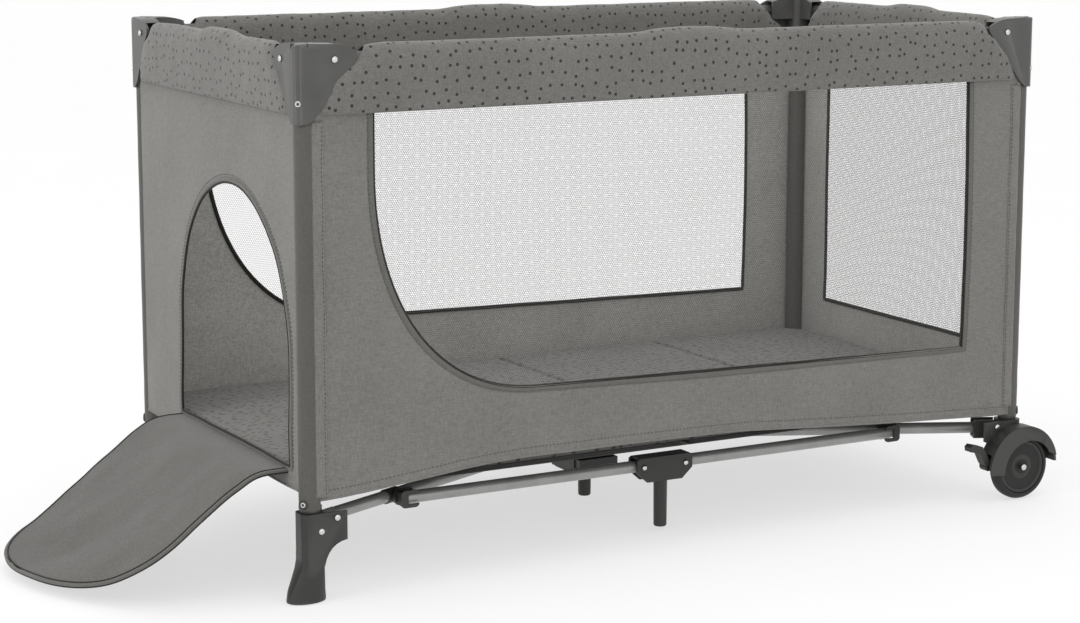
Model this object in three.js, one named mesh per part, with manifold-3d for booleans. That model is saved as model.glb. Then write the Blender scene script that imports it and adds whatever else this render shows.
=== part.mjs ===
// Folding travel cot with a zip-open side door that lets down as a ramp.
// Units are millimetres, +Z is up and +X runs along the long side. The model is laid out
// from the axis of the front left post and then centred on its footprint at the end.
import * as THREE from 'three';
import { mergeVertices } from 'three/addons/utils/BufferGeometryUtils.js';
import Module from 'manifold-3d';

const wasm = await Module();
wasm.setup();

// ---------------------------------------------------------------- driving dimensions
const LENGTH = 1200; // between post axes, long side
const WIDTH = 600; // between post axes, short side
const GAP = 0.4; // running and seating clearance

const POST = { r: 12.5, bore: 11.3, sleeveR: 15, top: 750, sleeveLow: 126.5, sleeveHigh: 648 };
const TUBE = { r: 9, bore: 7.8, overhang: 5, sides: 6 };
const CHEEK = { inner: 9.4, outer: 12.4 }; // fork walls either side of a tube

const RAIL_Z = 737; // axis of the top rails
const RAIL_OUT = 5; // the rails run this far outside the post axes
const BASE_Z = 106; // axis of the bottom tubes

// Every hinge of the frame turns by the same angle, so the horizontal reach of each arm on
// a side must be the same, and the fixed offsets at its two ends must add up to the same sum.
const CAP_PIN = { x: 37, y: 32 }; // rail pivots, from the post axis
const LATCH_PIN = { x: 45, y: 24 }; // rail pivots, from the middle of the side
const LONG_ARM = LENGTH / 2 - CAP_PIN.x - LATCH_PIN.x;
const SHORT_ARM = WIDTH / 2 - CAP_PIN.y - LATCH_PIN.y;

const FOOT_PIN = { x: 30, y: 30 }; // pivot of a diagonal on its foot bracket
const HUB_PIN = { x: LENGTH / 2 - FOOT_PIN.x - LONG_ARM, y: WIDTH / 2 - FOOT_PIN.y - SHORT_ARM };
const DIAGONAL = new THREE.Vector2(LONG_ARM, SHORT_ARM); // plan vector between its pivots

const KNUCKLE_SHARE = 0.26; // how far along a diagonal its knuckle sits
const KNUCKLE_SHIFT = { x: 16, y: -22.6 }; // from the diagonal to the side tube's pivot
const SIDE_HUB_PIN = HUB_PIN.x - KNUCKLE_SHIFT.x;
const KNUCKLE = {
  x: FOOT_PIN.x + KNUCKLE_SHARE * LONG_ARM,
  y: FOOT_PIN.y + KNUCKLE_SHARE * SHORT_ARM,
};
const SIDE_TUBE_Y = KNUCKLE.y + KNUCKLE_SHIFT.y;
const KNUCKLE_INNER = 11; // outer face of the knuckle's wall next to the diagonal
const BAND = { r: 10.5, half: 13 }; // round the diagonal, under the knuckle

const CAP = { low: 651, top: 759, half: 18, round: 12, wing: 72, sideWing: 59, plate: 3.6 };
const CAP_SHELL = { inner: 4.6, innerOut: 8, innerLow: 722, roofLow: 752.5 }; // behind a wing's face
const RIVET = { r: 4.6, proud: 1.6, seat: 1 };
const FOOT = { collarLow: 60, collarTop: 124, half: 17, postLow: 66 };
const FOOT_BORE_TOP = 140; // the post's bore runs out through the top of its collar
const FOOT_FORK = { back: -24, front: 12, below: 15, above: 14, web: 4 }; // about the diagonal's pivot
const WHEEL = { x: -3, r: 52, yLow: -39.5, yHigh: -18, bore: 4.4, axle: 4, postLow: 92 };
const FENDER = { r: 66, inner: 62, yLow: -42, yHigh: -13.3 };
const WHEEL_PLATE = -16.6; // back face of the wheel's hub and guard plate
const BRAKE = { x: 61, z: 58, r: 6.5, bore: 2.5, yLow: -35, yHigh: -19 };

const LATCH = { past: 14, low: 723, wallTop: 748, blockTop: 755, plate: 3, corner: 8 };
const SIDE_HUB = { wing: 48, lid: 44, core: 22, half: 13.4, low: 82, lidLow: 117, top: 120 };
const CENTRE_HUB = { x: 36, y: 30, low: 50, waistTop: 74, waistX: 34, waistY: 45, above: 14 };
const LEG = { tip: 8.5, edge: 10, shaft: 10.5 }; // radii of a leg at its sole, rim and top

const SHEET = { out: 13, thick: 3 }; // wall fabric: outer face from the post axes, thickness
const WALL = { inset: 18.5, top: 667, endLow: 150 };
const WINDOW = { left: 95, right: 1100, low: 256, high: 655, bendX: 245, bendZ: 300 };
const END_WINDOW = { near: 82, far: 518, low: 236, high: 655 };
const DOOR = { y: 232, half: 205, sill: 180, spring: 336, rise: 210 };
const RAMP = { y: 238, half: 198, thick: 5, hingeX: -20.5, hingeZ: 175.5, straight: 150, gap: 1.5 };
const RAMP_PANELS = [ // run along the cloth and slope below level, from the sill outwards
  { run: 36, slope: 0 },
  { run: 252, slope: 37.3 },
  { run: 66, slope: 6 },
].map(({ run, slope }) => ({ run, slope: THREE.MathUtils.degToRad(slope) }));

const COVER = { halfY: 19, low: 668.5, top: 755, slant: 4 };
const COVER_CHANNEL = { half: 10.3, latchHalf: 13.7, latchLow: 722, latchHigh: 757 };
const FLOOR = { low: 150, thick: 3, clear: 9, notch: 17.5 };
const MATTRESS = { low: 153.5, high: 177, corner: 55 };

// The footprint reaches from the tip of the ramp to the outside of the wheel guards.
const REACH_LEFT = RAMP_PANELS.reduce(
  (x, panel) => x - panel.run * Math.cos(panel.slope), RAMP.hingeX);
const REACH_RIGHT = LENGTH - WHEEL.x + FENDER.r;

// ---------------------------------------------------------------- colours
const finish = (color, roughness, metalness = 0) =>
  new THREE.MeshStandardMaterial({ color, roughness, metalness });
const FINISH = {
  plastic: finish(0x474745, 0.55),
  darkPlastic: finish(0x1c1c1c, 0.5),
  tube: finish(0x6c6e70, 0.35, 0.8),
  steel: finish(0x55575a, 0.4, 0.8),
  sleeve: finish(0x4b4a48, 0.6),
  fabric: finish(0x77746e, 0.95),
  cover: finish(0x706d67, 0.95),
  net: finish(0xb9b9b9, 0.9),
  mattress: finish(0x85827b, 0.95),
  flap: finish(0x6e6b65, 0.95),
  floor: finish(0x3c3b39, 0.95),
  tyre: finish(0x232323, 0.7),
};

// ---------------------------------------------------------------- geometry helpers
/** Flips every triangle if the closed surface faces inwards. */
function faceOutwards(geometry) {
  const p = geometry.attributes.position;
  const index = geometry.index.array;
  const [a, b, c] = [new THREE.Vector3(), new THREE.Vector3(), new THREE.Vector3()];
  let volume = 0;
  for (let i = 0; i < index.length; i += 3) {
    a.fromBufferAttribute(p, index[i]);
    b.fromBufferAttribute(p, index[i + 1]);
    c.fromBufferAttribute(p, index[i + 2]);
    volume += a.dot(b.cross(c));
  }
  if (volume < 0) {
    for (let i = 0; i < index.length; i += 3) {
      [index[i], index[i + 1]] = [index[i + 1], index[i]];
    }
  }
  return geometry;
}

/** Keeps only positions and merges shared vertices, so the surface is closed. */
function closed(geometry) {
  geometry.deleteAttribute('normal');
  geometry.deleteAttribute('uv');
  return faceOutwards(mergeVertices(geometry, 1e-4));
}

function toSolid(geometry) {
  return new wasm.Manifold(new wasm.Mesh({
    numProp: 3,
    vertProperties: Float32Array.from(geometry.attributes.position.array),
    triVerts: Uint32Array.from(geometry.index.array),
  }));
}

function toGeometry(manifold) {
  const data = manifold.getMesh();
  const geometry = new THREE.BufferGeometry();
  geometry.setAttribute('position', new THREE.BufferAttribute(new Float32Array(data.vertProperties), 3));
  geometry.setIndex(new THREE.BufferAttribute(new Uint32Array(data.triVerts), 1));
  return geometry;
}

/** Joins the first list of closed geometries and cuts the second list away. */
function build(added, cut = []) {
  let body = toSolid(added[0]);
  for (const piece of added.slice(1)) body = body.add(toSolid(piece));
  for (const piece of cut) body = body.subtract(toSolid(piece));
  return toGeometry(body);
}

function polygon(points) {
  return new THREE.Shape(points.map(([u, v]) => new THREE.Vector2(u, v)));
}

function rectangle(u0, u1, v0, v1) {
  return polygon([[u0, v0], [u1, v0], [u1, v1], [u0, v1]]);
}

/** A rectangle with round corners. */
function roundedRectangle(u0, u1, v0, v1, r) {
  const shape = new THREE.Shape();
  shape.absarc(u1 - r, v0 + r, r, -Math.PI / 2, 0);
  shape.absarc(u1 - r, v1 - r, r, 0, Math.PI / 2);
  shape.absarc(u0 + r, v1 - r, r, Math.PI / 2, Math.PI);
  shape.absarc(u0 + r, v0 + r, r, Math.PI, 1.5 * Math.PI);
  return shape;
}

function circle(u, v, r) {
  return new THREE.Shape().absarc(u, v, r, 0, 2 * Math.PI);
}

/** Extrudes a shape drawn on axes u and v from depth `from` to depth `to` along w. */
function extrude(shape, u, v, w, from, to, curveSegments = 8) {
  const geometry = closed(new THREE.ExtrudeGeometry(shape, {
    depth: to - from, bevelEnabled: false, curveSegments,
  }));
  const handed = new THREE.Vector3().crossVectors(u, v).dot(w) > 0;
  geometry.translate(0, 0, from);
  geometry.applyMatrix4(new THREE.Matrix4().makeBasis(u, v, w));
  return handed ? geometry : faceOutwards(geometry);
}

const X = new THREE.Vector3(1, 0, 0);
const Y = new THREE.Vector3(0, 1, 0);
const Z = new THREE.Vector3(0, 0, 1);
const prismXY = (shape, z0, z1, segments) => extrude(shape, X, Y, Z, z0, z1, segments);
const prismXZ = (shape, y0, y1, segments) => extrude(shape, X, Z, Y, y0, y1, segments);
const prismYZ = (shape, x0, x1, segments) => extrude(shape, Y, Z, X, x0, x1, segments);

function box(x0, x1, y0, y1, z0, z1) {
  return prismXY(rectangle(x0, x1, y0, y1), z0, z1);
}

/** A hollow round tube between two points. */
function tube(start, end, radius = TUBE.r, bore = TUBE.bore) {
  const along = new THREE.Vector3().subVectors(end, start);
  const ring = circle(0, 0, radius);
  ring.holes.push(new THREE.Path().absarc(0, 0, bore, 0, 2 * Math.PI, true));
  const geometry = closed(new THREE.ExtrudeGeometry(ring, {
    depth: along.length(), bevelEnabled: false, curveSegments: TUBE.sides,
  }));
  const turn = new THREE.Quaternion().setFromUnitVectors(Z, along.normalize());
  return geometry.applyQuaternion(turn).translate(start.x, start.y, start.z);
}

/** A closed skin through a stack of rings that all have the same number of points. */
function loft(rings) {
  const count = rings[0].length;
  const points = rings.flat();
  const index = [];
  for (let level = 0; level + 1 < rings.length; level++) {
    for (let i = 0; i < count; i++) {
      const [a, b] = [level * count + i, level * count + (i + 1) % count];
      index.push(a, b, b + count, a, b + count, a + count);
    }
  }
  const last = (rings.length - 1) * count;
  for (let i = 1; i + 1 < count; i++) {
    index.push(0, i + 1, i, last, last + i, last + i + 1);
  }
  const geometry = new THREE.BufferGeometry();
  geometry.setAttribute('position', new THREE.Float32BufferAttribute(points.flat(), 3));
  geometry.setIndex(index);
  return closed(geometry);
}

/** An oval ring of points; a power above 2 squares it off towards a rectangle. */
function ellipseRing(x, y, z, rx, ry, power = 2, count = 16) {
  const squared = (value) => Math.sign(value) * Math.abs(value) ** (2 / power);
  return Array.from({ length: count }, (_, i) => {
    const t = 2 * Math.PI * i / count;
    return [x + rx * squared(Math.cos(t)), y + ry * squared(Math.sin(t)), z];
  });
}

// ---------------------------------------------------------------- corners and mirroring
const CORNERS = {
  fl: { x: 0, y: 0, sx: 1, sy: 1 },
  fr: { x: LENGTH, y: 0, sx: -1, sy: 1 },
  bl: { x: 0, y: WIDTH, sx: 1, sy: -1 },
  br: { x: LENGTH, y: WIDTH, sx: -1, sy: -1 },
};

/** Takes a piece drawn at the front left post to another corner, mirrored as needed. */
function atCorner(geometry, corner) {
  const copy = geometry.clone().scale(corner.sx, corner.sy, 1).translate(corner.x, corner.y, 0);
  return faceOutwards(copy);
}

/** Mirrors a piece of the front or left side to the opposite side. */
const toBack = (geometry) => faceOutwards(geometry.clone().scale(1, -1, 1).translate(0, WIDTH, 0));
const toRight = (geometry) => faceOutwards(geometry.clone().scale(-1, 1, 1).translate(LENGTH, 0, 0));

// The plan direction of a diagonal, and the direction of its hinge pins.
const ALONG = new THREE.Vector3(DIAGONAL.x, DIAGONAL.y, 0).normalize();
const PIN = new THREE.Vector3(ALONG.y, -ALONG.x, 0);

/** A plate parallel to a diagonal, drawn as distance along it and height, about a pivot. */
function platePastDiagonal(pivot, shape, from, to) {
  return extrude(shape, ALONG, Z, PIN, from, to).translate(pivot.x, pivot.y, 0);
}

/** The two walls of a fork that holds a diagonal, and the web that joins them. */
function diagonalFork(pivot, s0, s1, z0, z1, webLow, webHigh) {
  const wall = rectangle(s0, s1, z0, z1);
  return [
    platePastDiagonal(pivot, wall, CHEEK.inner, CHEEK.outer),
    platePastDiagonal(pivot, wall, -CHEEK.outer, -CHEEK.inner),
    platePastDiagonal(pivot, rectangle(s0, s1, webLow, webHigh), -CHEEK.outer, CHEEK.outer),
  ];
}

// ---------------------------------------------------------------- posts and caps
function post(low) {
  const profile = [
    [POST.bore, low], [POST.r, low], [POST.r, POST.sleeveLow], [POST.sleeveR, POST.sleeveLow],
    [POST.sleeveR, POST.sleeveHigh], [POST.r, POST.sleeveHigh], [POST.r, POST.top],
    [POST.bore, POST.top], [POST.bore, low],
  ].map(([r, z]) => new THREE.Vector2(r, z));
  return closed(new THREE.LatheGeometry(profile, 16)).rotateX(Math.PI / 2);
}

/** The side view of a cap: a pointed tongue on the post, a slanting edge and a blunt wing tip. */
function capOutline(reach) {
  const { low, top, half } = CAP;
  const shape = new THREE.Shape();
  shape.moveTo(-half, low + 6);
  shape.quadraticCurveTo(-half, low, -half + 5, low);
  shape.lineTo(-6, low);
  shape.quadraticCurveTo(2, low + 2, 10, low + 11);
  shape.lineTo(reach - 7, top - 28);
  shape.quadraticCurveTo(reach + 3, top - 17, reach - 4, top - 11);
  shape.quadraticCurveTo(reach - 16, top - 4, reach - 34, top - 1.5);
  shape.lineTo(0, top);
  shape.lineTo(-half + 9, top);
  shape.quadraticCurveTo(-half, top, -half, top - 9);
  return shape;
}

/** A rivet head that stands proud of a face at the given depth. */
function rivet(prism, u, z, face) {
  return prism(circle(u, z, RIVET.r), face - RIVET.proud, face + RIVET.seat, 4);
}

/** One wing of a cap: an outer plate, a top and an inner wall, with the rail between them. */
function capWing(prism, swap, reach, pin) {
  const flat = (u0, u1, v0, v1, z0, z1) =>
    swap ? box(v0, v1, u0, u1, z0, z1) : box(u0, u1, v0, v1, z0, z1);
  const wing = toSolid(prism(capOutline(reach), -CAP.half, CAP_SHELL.innerOut, 5));
  const shell = [
    flat(0, reach, -CAP.half, -CAP.half + CAP.plate, CAP.low, CAP.top),
    flat(0, reach - 4, -CAP.half, CAP_SHELL.innerOut, CAP_SHELL.roofLow, CAP.top),
    flat(14, reach - 12, CAP_SHELL.inner, CAP_SHELL.innerOut, CAP_SHELL.innerLow, CAP.top),
  ].map((piece) => toGeometry(wing.intersect(toSolid(piece))));
  return [...shell, rivet(prism, pin, RAIL_Z, -CAP.half)];
}

function cap() {
  const column = prismXY(roundedRectangle(-CAP.half, CAP.half, -CAP.half, CAP.half, CAP.round),
    CAP.low, CAP.top, 5);
  const core = toSolid(column)
    .intersect(toSolid(prismXZ(capOutline(CAP.wing), -CAP.half, CAP.half, 5)))
    .intersect(toSolid(prismYZ(capOutline(CAP.sideWing), -CAP.half, CAP.half, 5)));
  const bore = prismXY(circle(0, 0, POST.r + GAP), CAP.low - 5, POST.top + GAP);
  return build([
    toGeometry(core),
    ...capWing(prismXZ, false, CAP.wing, CAP_PIN.x),
    ...capWing(prismYZ, true, CAP.sideWing, CAP_PIN.y),
  ], [bore]);
}

// ---------------------------------------------------------------- feet and wheel brackets
/** The collar around a post, the face plate beside it and the fork of the diagonal. */
function collar(low, face) {
  const forkLow = BASE_Z - FOOT_FORK.below;
  return [
    prismXY(roundedRectangle(-FOOT.half, FOOT.half, -FOOT.half, FOOT.half, 9),
      low, FOOT.collarTop, 4),
    prismXZ(face, -FOOT.half, -FOOT.half + 4, 6),
    rivet(prismXZ, FOOT_PIN.x + 3, BASE_Z + 10, -FOOT.half),
    ...diagonalFork(FOOT_PIN, FOOT_FORK.back, FOOT_FORK.front, forkLow, BASE_Z + FOOT_FORK.above,
      forkLow, forkLow + FOOT_FORK.web),
  ];
}

/** A leg that flares out to an oval sole, with a hollow curve up to the wing of its collar. */
function foot() {
  const face = new THREE.Shape();
  face.moveTo(0, 50);
  face.lineTo(14, 50);
  face.quadraticCurveTo(20, 81, 48, 84);
  face.lineTo(48, FOOT.collarTop);
  face.lineTo(0, FOOT.collarTop);
  const leg = loft([
    ellipseRing(-8, -2, 0, 25, 15, 2, 28),
    ellipseRing(-8, -2, 1.5, 28, 18, 2, 28),
    ellipseRing(-8, -2, 5, 28, 18, 2.2, 28),
    ellipseRing(-7, -1, 16, 26, 17.5, 2.6, 28),
    ellipseRing(-4, -0.5, 32, 22, 17, 3.2, 28),
    ellipseRing(-1.5, 0, 46, 18.5, 17, 4, 28),
    ellipseRing(0, 0, 58, 17, 17, 5, 28),
    ellipseRing(0, 0, 68, 17, 17, 5, 28),
  ]);
  const bore = prismXY(circle(0, 0, POST.r + GAP), FOOT.postLow - GAP, FOOT_BORE_TOP);
  return build([...collar(FOOT.collarLow, face), leg], [bore]);
}

function wheelBracket() {
  const centre = [WHEEL.x, WHEEL.r];
  const guard = new THREE.Shape();
  const [from, to] = [0.06, Math.PI - 0.2];
  guard.absarc(...centre, FENDER.r, from, Math.PI - from);
  guard.absarc(...centre, FENDER.inner, Math.PI - from, from, true);
  const back = new THREE.Shape().absarc(...centre, FENDER.inner + 2, 0, Math.PI);
  const crescent = new THREE.Shape();
  crescent.absarc(...centre, FENDER.r, -0.1, to);
  crescent.absarc(WHEEL.x - 10, WHEEL.r - 6, 48, to - 0.35, -0.05, true);
  const axle = prismXZ(circle(...centre, WHEEL.axle), FENDER.yLow - 1, FENDER.yHigh, 4);
  const hub = prismXZ(circle(...centre, 15), WHEEL_PLATE, FENDER.yHigh, 5);
  const bore = prismXY(circle(0, 0, POST.r + GAP), WHEEL.postLow - GAP, FOOT_BORE_TOP);
  return build([
    ...collar(WHEEL.postLow - 8, polygon([[0, 78], [42, 88], [56, 94], [56, FOOT.collarTop],
      [0, FOOT.collarTop]])),
    prismXZ(guard, FENDER.yLow, FENDER.yHigh, 10),
    prismXZ(back, WHEEL_PLATE, FENDER.yHigh, 10),
    prismXZ(crescent, FENDER.yLow - 2, FENDER.yLow, 10),
    axle,
    hub,
  ], [bore, box(54, 80, FENDER.yLow + 4, -17, 20, 77)]);
}

function wheel() {
  const { r, bore, yLow, yHigh } = WHEEL;
  const profile = [
    [bore, yLow + 4], [20, yLow + 4], [38, yLow + 5], [42, yLow + 1], [46, yLow], [r - 2, yLow + 4],
    [r, yLow + 8], [r, yHigh - 6], [r - 3, yHigh], [42, yHigh], [bore, yHigh], [bore, yLow + 4],
  ].map(([radius, y]) => new THREE.Vector2(radius, y));
  const turned = closed(new THREE.LatheGeometry(profile, 32));
  return turned.translate(WHEEL.x, 0, WHEEL.r);
}

/** The pedal that locks a wheel: a small hub, an arm up past the guard and a toe tab. */
function brakeLever() {
  const arm = polygon([[56, 60], [63, 55], [71, 66], [79, 82], [97, 86], [98, 93], [93, 97],
    [74, 92], [64, 76]]);
  const { x, z, r, bore, yLow, yHigh } = BRAKE;
  return build([
    prismXZ(circle(x, z, r), yLow, yHigh, 5),
    prismXZ(arm, yLow, yHigh),
  ], [prismXZ(circle(x, z, bore), yLow - 5, yHigh + 9, 3)]);
}

// ---------------------------------------------------------------- rails and latches
const at = (x, y, z) => new THREE.Vector3(x, y, z);
const longRail = () => tube(
  at(CAP_PIN.x - TUBE.overhang, -RAIL_OUT, RAIL_Z),
  at(CAP_PIN.x + LONG_ARM + TUBE.overhang, -RAIL_OUT, RAIL_Z));
const shortRail = () => tube(
  at(-RAIL_OUT, CAP_PIN.y - TUBE.overhang, RAIL_Z),
  at(-RAIL_OUT, CAP_PIN.y + SHORT_ARM + TUBE.overhang, RAIL_Z));

/** The fold lock in the middle of a rail: two cheeks, a floor and a solid middle. */
function latch(prism, middle, pin) {
  const { past, low, wallTop, blockTop, plate, corner } = LATCH;
  const reach = pin + past;
  const core = pin - TUBE.overhang * 2.6;
  const wall = roundedRectangle(middle - reach, middle + reach, low, wallTop, corner);
  const flat = rectangle(middle - reach + corner, middle + reach - corner, low, low + plate);
  const block = rectangle(middle - core, middle + core, low, blockTop);
  const [a, b] = [-RAIL_OUT - CHEEK.outer, -RAIL_OUT + CHEEK.outer];
  return build([
    prism(wall, a, a + plate, 3),
    prism(wall, b - plate, b, 3),
    prism(flat, a, b),
    prism(block, a, b),
  ]);
}

// ---------------------------------------------------------------- bottom frame
/** A diagonal of the bottom frame, with the band that its knuckle is pinned to. */
function diagonalTube() {
  const start = at(FOOT_PIN.x, FOOT_PIN.y, BASE_Z);
  const middle = at(KNUCKLE.x, KNUCKLE.y, BASE_Z);
  const band = tube(middle.clone().addScaledVector(ALONG, -BAND.half),
    middle.clone().addScaledVector(ALONG, BAND.half), BAND.r, TUBE.bore);
  return build([
    tube(start.clone().addScaledVector(ALONG, -TUBE.overhang),
      start.clone().addScaledVector(ALONG, DIAGONAL.length() + TUBE.overhang)),
    band,
  ]);
}

const sideTube = () => tube(
  at(KNUCKLE.x + KNUCKLE_SHIFT.x - TUBE.overhang, SIDE_TUBE_Y, BASE_Z),
  at(LENGTH / 2 - SIDE_HUB_PIN + TUBE.overhang, SIDE_TUBE_Y, BASE_Z));

/** Joins a side tube to its diagonal: a boss pinned to the one and a fork for the other. */
function knuckle() {
  const pinX = KNUCKLE.x + KNUCKLE_SHIFT.x;
  const wall = roundedRectangle(pinX - 15, pinX + 13, BASE_Z - 12.5, BASE_Z + 12.5, 6);
  const boss = platePastDiagonal({ x: KNUCKLE.x, y: KNUCKLE.y },
    circle(0, BASE_Z, 10), BAND.r + GAP, 17);
  return build([
    boss,
    prismXZ(wall, SIDE_TUBE_Y - CHEEK.outer, SIDE_TUBE_Y - CHEEK.inner, 3),
    prismXZ(wall, SIDE_TUBE_Y + CHEEK.inner, SIDE_TUBE_Y + KNUCKLE_INNER, 3),
    box(pinX - 15, pinX - 11, SIDE_TUBE_Y - CHEEK.outer, SIDE_TUBE_Y + KNUCKLE_INNER,
      BASE_Z - 9, BASE_Z + 9),
  ], [
    box(pinX - 4, pinX + 14, SIDE_TUBE_Y - CHEEK.outer - 1, SIDE_TUBE_Y - CHEEK.inner + 1,
      BASE_Z - 7, BASE_Z + 7),
  ]);
}

/** A round leg with a bevelled sole. */
function leg(x, y, sole, top) {
  const ring = (z, radius) => ellipseRing(x, y, z, radius, radius);
  return loft([ring(sole, LEG.tip), ring(sole + 2, LEG.edge), ring(top, LEG.shaft)]);
}

/** The fold lock in the middle of a long bottom side, with its leg. */
function sideHub() {
  const [x, y] = [LENGTH / 2, SIDE_TUBE_Y];
  const { wing, lid, core, half, low, lidLow, top } = SIDE_HUB;
  const face = polygon([[x - wing, low + 16], [x - 30, low], [x + 30, low], [x + wing, low + 16],
    [x + wing, lidLow], [x + lid, top], [x - lid, top], [x - wing, lidLow]]);
  const rivets = [-1, 1].map((side) =>
    prismXZ(circle(x + side * SIDE_HUB_PIN, BASE_Z, RIVET.r), y - half - RIVET.proud, y - 12, 4));
  return build([
    prismXZ(face, y - half, y - CHEEK.inner),
    prismXZ(face, y + CHEEK.inner, y + half),
    box(x - lid, x + lid, y - half, y + half, lidLow, top),
    box(x - core, x + core, y - half, y + half, low, top),
    leg(x, y, 10, low + 2),
    ...rivets,
  ]);
}

/** The hub that the four diagonals fold about, with its leg. */
function centreHub() {
  const [x, y] = [LENGTH / 2, WIDTH / 2];
  const pivot = { x: FOOT_PIN.x + LONG_ARM, y: FOOT_PIN.y + SHORT_ARM };
  const { low, waistTop, waistX, waistY } = CENTRE_HUB;
  const top = BASE_Z + CENTRE_HUB.above;
  const forks = Object.values(CORNERS).flatMap((corner) =>
    diagonalFork(pivot, -12, 24, BASE_Z - 11, top, top - 3, top)
      .map((piece) => atCorner(piece, corner)));
  return build([
    box(x - CENTRE_HUB.x, x + CENTRE_HUB.x, y - CENTRE_HUB.y, y + CENTRE_HUB.y, low, top),
    box(x - waistX, x + waistX, y - waistY, y + waistY, low, waistTop),
    leg(x, y, 6, low + 2),
    ...forks,
  ]);
}

// ---------------------------------------------------------------- walls, nets and covers
/** The outline of the side window: straight top and right, one long bend at the lower left. */
function windowOutline(inset) {
  const { left, right, low, high, bendX, bendZ } = WINDOW;
  const outline = new THREE.Shape();
  outline.moveTo(left + inset, high - inset);
  outline.lineTo(left + inset, low + bendZ);
  outline.absellipse(left + bendX, low + bendZ, bendX - inset, bendZ - inset, Math.PI, 1.5 * Math.PI);
  outline.lineTo(right - inset, low + inset);
  outline.lineTo(right - inset, high - inset);
  return outline;
}

function sideWall() {
  const shape = new THREE.Shape();
  shape.moveTo(WALL.inset, WALL.top);
  shape.lineTo(WALL.inset, 140);
  shape.quadraticCurveTo(LENGTH * 0.4, 190, LENGTH - WALL.inset, 134);
  shape.lineTo(LENGTH - WALL.inset, WALL.top);
  shape.holes.push(windowOutline(0));
  return prismXZ(shape, -SHEET.out, -SHEET.out + SHEET.thick, 10);
}

const sideNet = () => prismXZ(windowOutline(0.6), -SHEET.out + 0.8, -SHEET.out + 2.2, 10);

function endWindow(inset) {
  return rectangle(END_WINDOW.near + inset, END_WINDOW.far - inset,
    END_WINDOW.low + inset, END_WINDOW.high - inset);
}

function endPanel(opening) {
  const shape = rectangle(WALL.inset, WIDTH - WALL.inset, WALL.endLow, WALL.top);
  shape.holes.push(opening);
  return prismYZ(shape, -SHEET.out, -SHEET.out + SHEET.thick, 8);
}

function doorOutline() {
  const { y, half, sill, spring, rise } = DOOR;
  const outline = new THREE.Path();
  outline.moveTo(y - half, sill);
  outline.lineTo(y + half, sill);
  outline.lineTo(y + half, spring);
  outline.absellipse(y, spring, half, rise, 0, Math.PI);
  return outline;
}

const doorWall = () => endPanel(doorOutline());
const netWall = () => endPanel(endWindow(0));
const endNet = () => prismYZ(endWindow(0.6), -SHEET.out + 0.8, -SHEET.out + 2.2);

/** The padded sleeve around a rail: slanted at both caps, raised over the latch, hollow. */
function cover(prism, run, wing, pin) {
  const { low, top, slant, halfY } = COVER;
  const rise = CAP.low + 90;
  const outline = polygon([
    [12 + slant + (low - CAP.low - 8) * (wing - 12) / (rise - CAP.low - 8), low],
    [wing + slant, rise], [wing + slant, top],
    [run - wing - slant, top], [run - wing - slant, rise],
    [run - 12 - slant - (low - CAP.low - 8) * (wing - 12) / (rise - CAP.low - 8), low],
  ]);
  const hump = pin + 20;
  const [a, b] = [-RAIL_OUT - halfY, -RAIL_OUT + halfY];
  const { half, latchHalf, latchLow, latchHigh } = COVER_CHANNEL;
  const clear = pin + 18;
  return build([
    prism(outline, a, b),
    prism(rectangle(run / 2 - hump, run / 2 + hump, top - 5, 759), a + 2, b - 2),
  ], [
    prism(rectangle(0, run, RAIL_Z - half, RAIL_Z + half), -RAIL_OUT - half, -RAIL_OUT + half),
    prism(rectangle(run / 2 - clear, run / 2 + clear, latchLow, latchHigh),
      -RAIL_OUT - latchHalf, -RAIL_OUT + latchHalf),
  ]);
}

// ---------------------------------------------------------------- floor, mattress, ramp
function floorSheet() {
  const { low, thick, clear, notch } = FLOOR;
  const [x1, y1] = [LENGTH + clear, WIDTH + clear];
  return prismXY(polygon([
    [notch, -clear], [LENGTH - notch, -clear], [LENGTH - notch, notch], [x1, notch],
    [x1, WIDTH - notch], [LENGTH - notch, WIDTH - notch], [LENGTH - notch, y1], [notch, y1],
    [notch, WIDTH - notch], [-clear, WIDTH - notch], [-clear, notch], [notch, notch],
  ]), low, low + thick);
}

const mattress = () => prismXY(roundedRectangle(0, LENGTH, 0, WIDTH, MATTRESS.corner),
  MATTRESS.low, MATTRESS.high, 5);

/** The whole ramp laid flat, running out along -X from the line x = 0: its far end is an arch. */
function flatRamp() {
  const { y, half, thick, straight } = RAMP;
  const length = RAMP_PANELS.reduce((sum, panel) => sum + panel.run, 0);
  const outline = new THREE.Shape();
  outline.moveTo(0, y + half);
  outline.lineTo(-straight, y + half);
  outline.absellipse(-straight, y, length - straight, half, Math.PI / 2, 1.5 * Math.PI);
  outline.lineTo(0, y - half);
  return prismXY(outline, -thick / 2, thick / 2, 10);
}

/** The ramp cut into its panels, each hung from the end of the one before at its own slope. */
function ramp() {
  const whole = toSolid(flatRamp());
  const hinge = at(RAMP.hingeX, 0, RAMP.hingeZ);
  let done = 0;
  return RAMP_PANELS.map(({ run, slope }) => {
    const strip = box(-done - run + RAMP.gap, -done - RAMP.gap, 0, WIDTH, -RAMP.thick, RAMP.thick);
    const panel = toGeometry(whole.intersect(toSolid(strip)));
    panel.translate(done, 0, 0).rotateY(-slope).translate(hinge.x, 0, hinge.z);
    hinge.add(at(-run * Math.cos(slope), 0, -run * Math.sin(slope)));
    done += run;
    return panel;
  });
}

// ---------------------------------------------------------------- assembly
const root = new THREE.Group();
const cot = new THREE.Group();
cot.position.set(-(REACH_LEFT + REACH_RIGHT) / 2, -WIDTH / 2, 0);
root.add(cot);

function add(name, geometry, material) {
  const mesh = new THREE.Mesh(geometry, material);
  mesh.name = name;
  cot.add(mesh);
}

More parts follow.
